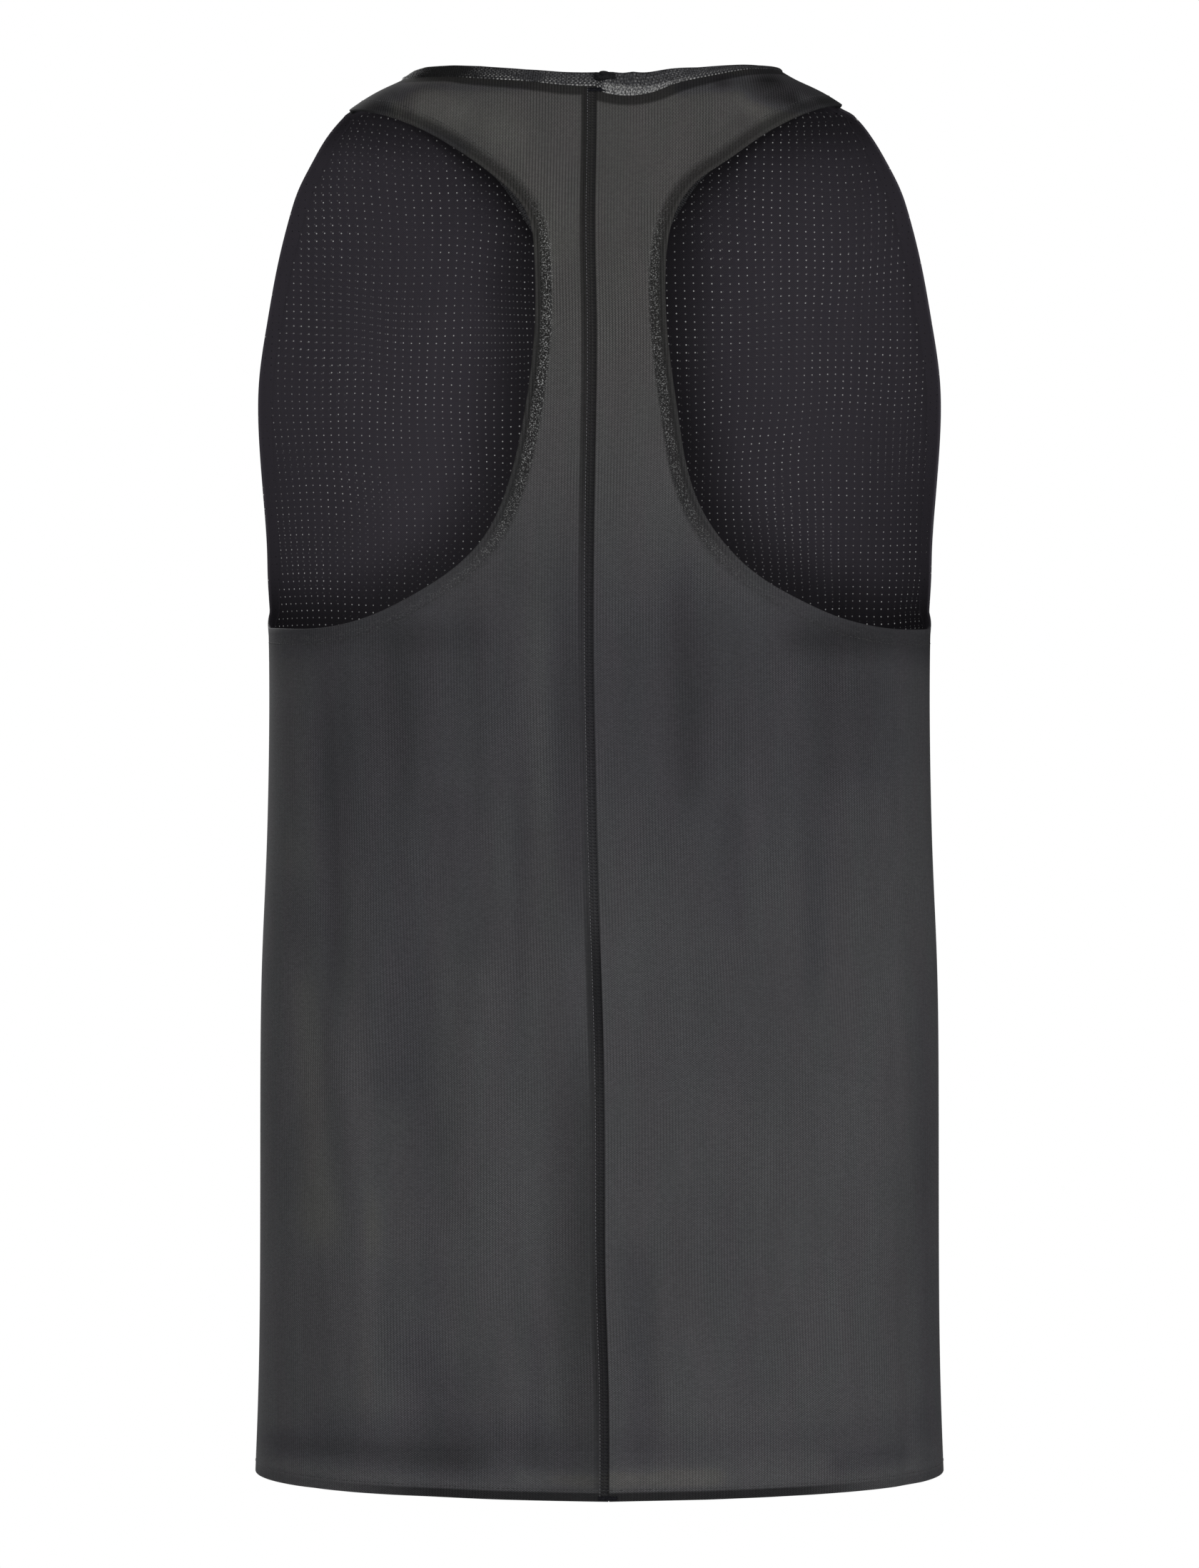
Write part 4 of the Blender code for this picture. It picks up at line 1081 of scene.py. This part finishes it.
def eyelet_knit_material(sizes, colors):
    """Close knit with small eyelets in straight rows, faint ladders between them."""
    material, graph, shader = new_material("eyelet knit", 0.8, 0.12)
    place = graph.cloth_place()
    sway = (graph.noise(place, 9.0, 1.0) - 0.5) * 0.014
    dip = (graph.noise(place, 11.0, 1.0, shift=(3.0, 5.0, 0.0)) - 0.5) * 0.015
    wavy = graph.vector("ADD", place, graph.combine(sway, dip))
    u, v = graph.split(wavy)
    wider = graph.vector("MULTIPLY", wavy, (1.012, 0.985, 1.0))
    dots, second = (
        graph.group(
            "hole lattice", map=map_place, pitch=sizes.eyelet_pitch, row_pitch=sizes.eyelet_row, stagger=0.0,
            hole_width=across, hole_height=across, softness=0.5,
        )
        for map_place, across in (
            (wavy, 0.0003),
            (graph.vector("ADD", wider, (0.0017, 0.0014, 0.0)), 0.00027),
        )
    )
    zone = graph.ramp(graph.noise(place, 16.0), 0.38, 0.62)
    other = graph.ramp(graph.noise(place, 18.0, shift=(9.0, 2.0, 0.0)), 0.42, 0.66)
    rung = graph.near(graph.math("FRACT", v / sizes.eyelet_row), 0.5, 0.02, 0.07)
    ladder = graph.near(graph.math("FRACT", u / sizes.eyelet_pitch), 0.5, 0.02, 0.06)
    broken = graph.ramp(graph.noise(place, 300.0, 1.0, shift=(1.0, 7.0, 0.0)), 0.42, 0.6)
    lines = (rung * zone * 0.25 + ladder * other * 0.6) * broken
    vary = graph.line(dots["Random"], 0.3, 1.1)
    hole = graph.most(dots["Hole"] * (vary * graph.line(zone, 0.45, 1.0)), second["Hole"] * (other * 0.2))
    fine = graph.group(
        "hole lattice", map=wavy, pitch=0.0011, row_pitch=0.00055, stagger=0.5,
        hole_width=0.0003, hole_height=0.0002, softness=0.5,
    )["Hole"]
    tone = graph.group("cloth tone", map=place, streaks=0.08, clouds=0.08)["Tone"]
    bright = tone * (1.12 - fine * 0.3) + lines * 0.12
    # painted shade on the front's inner face, where the back keeps the light from behind off it
    bright = bright * (graph.attribute("shade") * -0.62 + 1.0) * (1.0 - hole * 0.6)
    graph.put(shader["Base Color"], graph.scale(colors.knit, bright))
    graph.put(shader["Alpha"], open_alpha(graph, hole * 0.31))
    graph.put(shader["Normal"], graph.bump(1.0 - (hole + fine * 0.4), 0.4, 0.0003))
    return material


def band_knit_material(colors):
    """The neckband's folded knit: fine ribs, rows of small pale marks, painted shade behind the left shoulder
    and painted glints by the back seam.
    """
    material, graph, shader = new_material("neckband knit", 0.7, 0.2)
    place = graph.cloth_place()
    u, _ = graph.split(place)
    ring, rise = graph.attribute("ring"), graph.attribute("rise")
    rib = graph.math("SINE", u * (2 * math.pi / BAND_RIB))
    marks = graph.group(
        "hole lattice", map=place, pitch=0.0021, row_pitch=0.0011, stagger=0.35,
        hole_width=0.00048, hole_height=0.0003, softness=0.5,
    )["Hole"]
    zone = graph.ramp(graph.noise(place, 160.0, 1.0, stretch=(0.5, 1.0, 1.0)), 0.34, 0.56)
    mottle = graph.noise(place, 650.0, stretch=(1.0, 1.8, 1.0))
    # darkest, with the marks almost gone, where the band lies in painted shade just behind the left shoulder
    tone = (rib * 0.35 + graph.ramp(mottle, 0.38, 0.62, 0.55, 1.5)) * graph.curve(
        ring, (0.0, 1.0), (0.22, 0.8), (0.27, 0.12), (0.37, 0.1), (0.4, 0.42), (0.46, 0.85), (0.5, 0.95),
        (0.6, 0.85), (0.68, 0.65), (0.75, 0.8), (1.0, 1.0),
    )
    lit = marks * zone * (graph.ramp(rise, 0.5, 4.5, 1.0, 0.25) * graph.ramp(mottle, 0.4, 0.6, 0.6, 1.3))
    lit = lit * graph.curve(
        ring, (0.0, 0.25), (0.28, 0.5), (0.325, 0.6), (0.335, 0.02), (0.37, 0.02), (0.4, 0.8), (0.48, 1.0),
        (0.6, 0.7), (0.7, 0.25), (1.0, 0.25),
    )
    # painted glints: a strip to the right of the join that narrows to its end, and a thin line to the left
    height = graph.line(ring, 4.6, 1.2, 0.52, 0.60)
    strip = graph.between(ring, 0.5045, 0.509, 0.56, 0.60) * graph.fall(rise / height, 0.8, 1.1)
    thin = graph.near(rise, 0.7, 0.3, 0.9, 0.5) * graph.between(ring, 0.41, 0.44, 0.498, 0.502)
    glint = graph.group("glints", map=place, size=0.0004, share=0.9, cluster_scale=1500.0)["Glint"]
    glint = glint * graph.most(strip, thin)
    color = graph.mix(graph.most(lit, glint), graph.scale(colors.band, tone), (0.42, 0.42, 0.41))
    graph.put(shader["Base Color"], graph.mix(strip * 0.14, color, (0.25, 0.25, 0.25)))
    graph.put(shader["Normal"], graph.bump(rib + marks * 2.0, 0.5, 0.0003))
    return material


def thread_material(name, shade):
    """Twisted polyester thread with a fine ply and a slight gloss."""
    material, graph, shader = new_material(name, 0.62, 0.05)
    ply = graph.noise(graph.object_place(), 1500.0)
    graph.put(shader["Base Color"], graph.scale(shade, graph.line(ply, 0.5, 1.8, 0.3, 0.7)))
    graph.put(shader["Roughness"], graph.line(ply, 0.52, 0.7, 0.3, 0.7))
    return material


def floor_material(colors):
    """Pale matt studio paper."""
    material, graph, shader = new_material("studio paper", 0.9, 0.1)
    grain = graph.noise(graph.object_place(), 30.0, 3.0)
    graph.put(shader["Base Color"], graph.scale(colors.floor, graph.line(grain, 0.97, 1.03)))
    return material


# ------------------------------------------------------------------------------------- stitches


def stitch_shape(length, thickness):
    """One stitch that bulges in the middle, along X, as points and faces."""
    clear_selection()
    turned = (0, math.pi / 2, 0)
    bpy.ops.mesh.primitive_uv_sphere_add(segments=6, ring_count=4, radius=thickness / 2, rotation=turned)
    stitch = bpy.context.object
    bpy.ops.object.transform_apply(location=True, rotation=True, scale=True)
    for way in (1, -1):
        bpy.ops.object.mode_set(mode="EDIT")
        bpy.ops.mesh.select_mode(type="VERT")
        bpy.ops.mesh.select_all(action="DESELECT")
        bpy.ops.object.mode_set(mode="OBJECT")
        for vertex in stitch.data.vertices:
            vertex.select = vertex.co.x * way > thickness / 100
        bpy.ops.object.mode_set(mode="EDIT")
        bpy.ops.transform.translate(value=(way * (length - thickness) / 2, 0, 0))
        bpy.ops.object.mode_set(mode="OBJECT")
    points = np.array([vertex.co[:] for vertex in stitch.data.vertices])
    faces = [list(face.vertices) for face in stitch.data.polygons]
    bpy.data.objects.remove(stitch, do_unlink=True)
    return points, faces


def lay_stitches(name, runs):
    """One piece with a copy of a stitch at each place. A run is a stitch shape, centres, ways and outs."""
    points, faces, count = [], [], 0
    for (shape, shape_faces), centres, ways, outs in runs:
        for centre, way, beside, out in zip(centres * MM, ways, np.cross(outs, ways), outs):
            points.append(centre + shape @ np.array([way, beside, out]))
            faces.extend([[i + count for i in face] for face in shape_faces])
            count += len(shape)
    thing = new_object(name, np.concatenate(points), faces)
    bpy.ops.object.shade_smooth_by_angle(angle=STITCH_SMOOTH_ANGLE)
    return thing


def stitch_row(half, line, toward, offset, raised, pitch, slant=0.0):
    """Centres, ways and outward directions of stitches at one pitch, at one distance from an edge."""
    turn, level = (line + edge_moves(half.side, line, toward) * offset).T
    points, outs = cloth(half.side, turn, level, -raised), normal(half.side, turn, level)
    length = lengths(points)
    at = np.arange(pitch / 2, length[-1], pitch)
    centre, out = along_line(at, length, points), unit(along_line(at, length, outs))
    way = np.gradient(centre, axis=0)
    way = unit(way - out * dot(way, out)[:, None])
    return centre, way * math.cos(slant) + np.cross(out, way) * math.sin(slant), out


# ------------------------------------------------------------------------------------- settings


def length_setting(name, default, description):
    return FloatProperty(
        name=name, description=description, default=default, unit="LENGTH", subtype="DISTANCE"
    )


def color_setting(name, default, description):
    return FloatVectorProperty(
        name=name, description=description, default=default, subtype="COLOR", size=3
    )


class SingletSizes(bpy.types.PropertyGroup):
    """Sizes of the cloth and the sewing."""

    wall: length_setting("Cloth wall", 0.0005, "Thickness of one layer of cloth")
    band_wall: length_setting("Neckband wall", 0.0008, "Thickness of one layer of the neckband")
    mesh_pitch: length_setting("Mesh pitch", 0.00147, "From one hole of the sheer mesh to the next across")
    mesh_row: length_setting("Mesh row", 0.00043, "From one row of the sheer mesh to the next")
    eyelet_pitch: length_setting("Eyelet pitch", 0.0043, "From one eyelet of the knit to the next across")
    eyelet_row: length_setting("Eyelet row", 0.00365, "From one row of eyelets to the next")
    stitch: length_setting("Stitch length", 0.0016, "Pitch of the centre seam's topstitching")
    hem_stitch: length_setting(
        "Edge stitch length", 0.0024, "Pitch of the stitches round the hem and the armholes"
    )
    thread: length_setting("Thread", 0.00032, "Thickness of the sewing thread")
    band_stations: IntProperty(
        name="Neckband steps", description="How many steps the neckband takes round the neck", default=420
    )


class SingletColors(bpy.types.PropertyGroup):
    """Colours of the cloths, the thread and the floor."""

    mesh: color_setting("Sheer mesh", (0.0518, 0.0518, 0.0545), "Colour of the back's mesh")
    yoke: color_setting(
        "Sheer mesh of the yoke", (0.054, 0.0528, 0.0516),
        "Colour of the mesh where it is stretched over the shoulders",
    )
    knit: color_setting("Eyelet knit", (0.0348, 0.0312, 0.0388), "Colour of the front's knit")
    band: color_setting("Neckband", (0.030, 0.030, 0.033), "Colour of the neckband's knit")
    thread: color_setting("Thread", (0.008, 0.008, 0.01), "Colour of the sewing thread")
    tonal: color_setting(
        "Edge thread", (0.042, 0.042, 0.043), "Colour of the thread of the hem and the armholes"
    )
    loops: color_setting(
        "Looper thread", (0.11, 0.11, 0.115), "Colour of the row of loops beside the centre seam"
    )
    floor: color_setting("Floor", (0.9, 0.9, 0.9), "Colour of the studio floor")


def keep_material(thing, material):
    thing.data.materials.clear()
    thing.data.materials.append(material)


# ------------------------------------------------------------------------------------ operators


class SINGLET_OT_front(bpy.types.Operator):
    """Make the front panel of eyelet knit, with its turned hem and armholes"""

    bl_idname = "singlet.front"
    bl_label = "Front panel"

    def execute(self, context):
        sizes, colors = context.scene.singlet_sizes, context.scene.singlet_colors
        sheet = Sheet()
        for side in (1, -1):
            add_panel(sheet, Half(side, back=False))
        front = sheet.make("front_cloth")
        thicken(front, sizes.wall)
        shade_inside(front)
        keep_material(front, eyelet_knit_material(sizes, colors))
        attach(front, "root")
        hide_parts("front_panel")
        return {"FINISHED"}


class SINGLET_OT_backs(bpy.types.Operator):
    """Make the two halves of the racerback in sheer mesh, with their seam allowances and turned edges"""

    bl_idname = "singlet.backs"
    bl_label = "Back panels"

    def execute(self, context):
        sizes, colors = context.scene.singlet_sizes, context.scene.singlet_colors
        material = sheer_mesh_material(sizes, colors)
        for side, name, node in (
            (1, "back_cloth_left", "back_panel_left"),
            (-1, "back_cloth_right", "back_panel_right"),
        ):
            sheet, half = Sheet(tones=BACK_LIE_AND_PAINTED_SHADING), Half(side, back=True)
            add_panel(sheet, half)
            seam, toward = half.centre_line()
            if side > 0:
                add_turning(sheet, half, seam, toward, CENTRE_ALLOWANCE, half.flip, "centre")
            else:
                # the right half's allowance passes under the left half
                profile = [(0.0, 0.0), (-0.15, 0.5), (-0.3, 1.0), (-0.2, 1.6), (-0.4, 2.2)]
                profile += [(-CENTRE_ALLOWANCE * k / 6, 2.3) for k in range(1, 7)]
                add_strip(sheet, half, seam, toward, profile, half.flip, 1.0, CROSSING_SHIFT)
            back = sheet.make(name)
            thicken(back, sizes.wall)
            keep_material(back, material)
            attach(back, "root")
            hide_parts(node)
        return {"FINISHED"}


class SINGLET_OT_neckband(bpy.types.Operator):
    """Make the doubled neckband that rises from the neck seam"""

    bl_idname = "singlet.neckband"
    bl_label = "Neckband"

    def execute(self, context):
        sizes, colors = context.scene.singlet_sizes, context.scene.singlet_colors
        points, out, up, upright, shares, total = neck_ring(sizes.band_stations)
        heights = np.interp(shares, BAND["share"], BAND["height"])
        rings = []
        for depth, share, above in self.fold_line():
            rise = above + heights * share
            blend = soft_step((rise - BAND_UPRIGHT_FROM) / BAND_UPRIGHT_OVER)[:, None]
            rings.append(points + out * depth + (up * (1 - blend) + upright * blend) * rise[:, None])
        rings = np.stack(rings, 1)
        rings = np.concatenate([rings, rings[:1]])
        path = lengths(rings[0])
        around = np.linspace(0, total, len(rings))
        maps = np.stack(np.meshgrid(around, path, indexing="ij"), -1) * MM
        seam_path = path[BAND_SEAM_POINT] - BAND_SEAM_RISE
        values = {"ring": np.append(shares, 1.0)[:, None], "rise": path - seam_path}
        sheet = Sheet(values)
        sheet.add_grid(rings, maps, False, values)
        band = sheet.make("neck_band")
        thicken(band, sizes.band_wall, 0)
        keep_material(band, band_knit_material(colors))
        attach(band, "root")
        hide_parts("neckband")
        join = self.make_join(rings[int(JOIN_SHARE * len(rings))][BAND_TOP_POINT])
        keep_material(join, thread_material("folded band end", np.array(colors.band) * 0.3))
        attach(join, "root")
        return {"FINISHED"}

    @staticmethod
    def make_join(top):
        """The small rolls where the band's ends are folded in and joined, at the back."""
        rolls = []
        for across, level, sizes, tilt in JOIN_ROLLS:
            clear_selection()
            bpy.ops.mesh.primitive_uv_sphere_add(segments=20, ring_count=12, radius=MM)
            roll = bpy.context.object
            roll.scale = sizes
            roll.rotation_euler = (0, math.radians(tilt), 0)
            roll.location = (across * MM, (top[1] + 0.1) * MM, level * MM)
            bpy.ops.object.transform_apply(location=True, rotation=True, scale=True)
            rolls.append(roll)
        for roll in rolls:
            roll.select_set(True)
        bpy.context.view_layer.objects.active = rolls[0]
        bpy.ops.object.join()
        bpy.ops.object.shade_smooth_by_angle(angle=SMOOTH_ANGLE)
        rolls[0].name = "band_join"
        return rolls[0]

    @staticmethod
    def fold_line():
        """The folded band's section: depth, share of the band's height, and millimetres above that."""
        angles = np.radians((30, 60, 90, 120, 150))
        return [
            (-3.0, 0, -5.5), (-2.7, 0, -3.2), (-2.3, 0, -1.0), (-1.6, 0, 0.1), (-0.8, 0, 0.9),
            (-0.42, 0, 1.7), (-0.4, 0.6, 0.0), (-0.4, 1, -1.1),
            *((-1.0 + 0.6 * math.cos(angle), 1, -1.0 + 0.6 * math.sin(angle)) for angle in angles),
            (-1.6, 1, -1.1), (-1.7, 0.6, 0.0), (-2.0, 0, 1.6), (-2.6, 0, 0.2), (-3.3, 0, -1.2),
            (-3.7, 0, -3.2), (-3.95, 0, -5.5),
        ]


class SINGLET_OT_centre_stitching(bpy.types.Operator):
    """Lay the centre seam's two rows of topstitching, the slanted stitches between and its bar tacks"""

    bl_idname = "singlet.centre_stitching"
    bl_label = "Centre seam stitching"

    def execute(self, context):
        sizes, colors = context.scene.singlet_sizes, context.scene.singlet_colors
        half = Half(1, back=True)
        seam = half.centre_line()
        pitch, lift = sizes.stitch / MM, sizes.thread / MM * 0.3
        straight = stitch_shape(sizes.stitch * 0.72, sizes.thread)
        slanted = stitch_shape(sizes.stitch * 0.95, sizes.thread * 0.8)
        runs = [(straight, *stitch_row(half, *seam, SEAM_ROW, lift, pitch))]
        loops = [(straight, *stitch_row(half, *seam, LOOP_ROW, lift * 1.3, pitch))]
        for offset in SLANT_ROWS:
            runs.append((slanted, *stitch_row(half, *seam, offset, lift * 0.7, pitch, SLANT)))
        bar = stitch_shape(BAR_STITCH, BAR_THREAD)
        for level, width, start in BAR_TACKS:
            runs.append((bar, *self.bar_tack(level, width, start)))
        for name, laid, material in (
            ("centre_stitching", runs, thread_material("sewing thread", colors.thread)),
            ("centre_loops", loops, thread_material("pale thread", colors.loops)),
        ):
            stitching = lay_stitches(name, laid)
            keep_material(stitching, material)
            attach(stitching, "root")
        return {"FINISHED"}

    @staticmethod
    def bar_tack(level, width, start):
        """Upright stitches side by side across the seam."""
        across = float(seam_across(level)) + start + np.arange(0, width, BAR_PITCH)
        side = np.where(across > 0, 1, -1)
        levels = np.full(len(across), level)
        turn = turn_at_across(across * side, levels)
        centres, outs = np.empty((len(across), 3)), np.empty((len(across), 3))
        for way in (1, -1):
            here = side == way
            centres[here] = cloth(way, turn[here], levels[here], -BAR_LIFT)
            outs[here] = normal(way, turn[here], levels[here])
        return centres, unit(np.cross(outs, np.cross([0, 0, 1.0], outs))), outs


class SINGLET_OT_edge_stitching(bpy.types.Operator):
    """Lay the rows of stitches that hold the turned hem and armholes"""

    bl_idname = "singlet.edge_stitching"
    bl_label = "Hem and armhole stitching"

    def execute(self, context):
        sizes = context.scene.singlet_sizes
        shape = stitch_shape(sizes.hem_stitch * 0.7, sizes.thread * 0.85)
        pitch, lift = sizes.hem_stitch / MM, sizes.thread / MM * 0.2
        hems, armholes = [], []
        for half in (Half(side, back) for side in (1, -1) for back in (True, False)):
            places, upper = half.places, half.places[half.net.body :]
            hem = places[0], places[3], HEM_TURNING - EDGE_ROW_IN
            armhole = upper[:, 0], upper[:, 3], TURNING - EDGE_ROW_IN
            hems.append((shape, *stitch_row(half, *hem, lift, pitch)))
            armholes.append((shape, *stitch_row(half, *armhole, lift, pitch)))
        material = thread_material("tonal thread", context.scene.singlet_colors.tonal)
        for name, runs in (("hem_stitching", hems), ("armhole_stitching", armholes)):
            stitching = lay_stitches(name, runs)
            keep_material(stitching, material)
            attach(stitching, "root")
        return {"FINISHED"}


class SINGLET_OT_stage(bpy.types.Operator):
    """Make the pale floor, the soft lights, the white surroundings and the camera"""

    bl_idname = "singlet.stage"
    bl_label = "Stage"

    def execute(self, context):
        clear_selection()
        bpy.ops.mesh.primitive_circle_add(vertices=128, radius=1.28, fill_type="NGON", location=(0, 0, 0))
        floor = context.object
        floor.name = "studio_floor"
        bpy.ops.object.mode_set(mode="EDIT")
        bpy.ops.mesh.select_all(action="SELECT")
        bpy.ops.mesh.inset(thickness=0.05)
        bpy.ops.object.mode_set(mode="OBJECT")
        for vertex in floor.data.vertices:
            vertex.co.z = FLOOR_LEVEL
        keep_material(floor, floor_material(context.scene.singlet_colors))

        self.make_surroundings(context)
        for name, place, size, power in LIGHTS:
            light = bpy.data.lights.new(name, "AREA")
            light.size, light.energy = size, power
            lamp = bpy.data.objects.new(name, light)
            context.collection.objects.link(lamp)
            lamp.location = place
            aim = np.array(LIGHT_AIM) - place
            tilt, turn = math.acos(-aim[2] / np.linalg.norm(aim)), math.atan2(aim[1], aim[0]) - math.pi / 2
            lamp.rotation_euler = (tilt, 0, turn)

        camera = bpy.data.objects.new("camera", bpy.data.cameras.new("camera"))
        context.collection.objects.link(camera)
        camera.location = (0, 3.2, -0.355)
        camera.rotation_euler = (math.pi / 2, 0, math.pi)
        camera.data.sensor_fit = "VERTICAL"
        camera.data.sensor_height = 36.0
        camera.data.lens = 148.5
        context.scene.camera = camera
        return {"FINISHED"}

    @staticmethod
    def make_surroundings(context):
        """White behind the singlet, and a softer light than that white on it from all sides."""
        world = bpy.data.worlds.new("white studio")
        world.use_nodes = True
        background = world.node_tree.nodes["Background"]
        background.inputs["Color"].default_value = (1, 1, 1, 1)
        graph = Graph(world.node_tree)
        seen = graph.wired("ShaderNodeLightPath", output="Is Camera Ray")
        graph.put(background.inputs["Strength"], graph.line(seen, 0.32, 1.0))
        context.scene.world = world
        context.scene.view_settings.view_transform = "Standard"


class SINGLET_PT_panel(bpy.types.Panel):
    """Lists the singlet's sizes, colours and pieces"""

    bl_idname = "SINGLET_PT_panel"
    bl_label = "Running Singlet"
    bl_space_type = "VIEW_3D"
    bl_region_type = "UI"
    bl_category = "Singlet"

    def draw(self, context):
        layout = self.layout
        for settings in (context.scene.singlet_sizes, context.scene.singlet_colors):
            box = layout.box()
            for name in settings.__annotations__:
                box.prop(settings, name)
        for piece in PIECES:
            layout.operator(piece.bl_idname)


PIECES = (
    SINGLET_OT_front,
    SINGLET_OT_backs,
    SINGLET_OT_neckband,
    SINGLET_OT_centre_stitching,
    SINGLET_OT_edge_stitching,
    SINGLET_OT_stage,
)
CLASSES = (SingletSizes, SingletColors) + PIECES + (SINGLET_PT_panel,)


def register():
    for kind in CLASSES:
        bpy.utils.register_class(kind)
    bpy.types.Scene.singlet_sizes = PointerProperty(type=SingletSizes)
    bpy.types.Scene.singlet_colors = PointerProperty(type=SingletColors)


def unregister():
    del bpy.types.Scene.singlet_colors
    del bpy.types.Scene.singlet_sizes
    for kind in reversed(CLASSES):
        bpy.utils.unregister_class(kind)


def main():
    register()
    bpy.ops.singlet.stage()
    bpy.ops.singlet.front()
    bpy.ops.singlet.backs()
    bpy.ops.singlet.neckband()
    bpy.ops.singlet.centre_stitching()
    bpy.ops.singlet.edge_stitching()


if __name__ == "__main__":
    main()
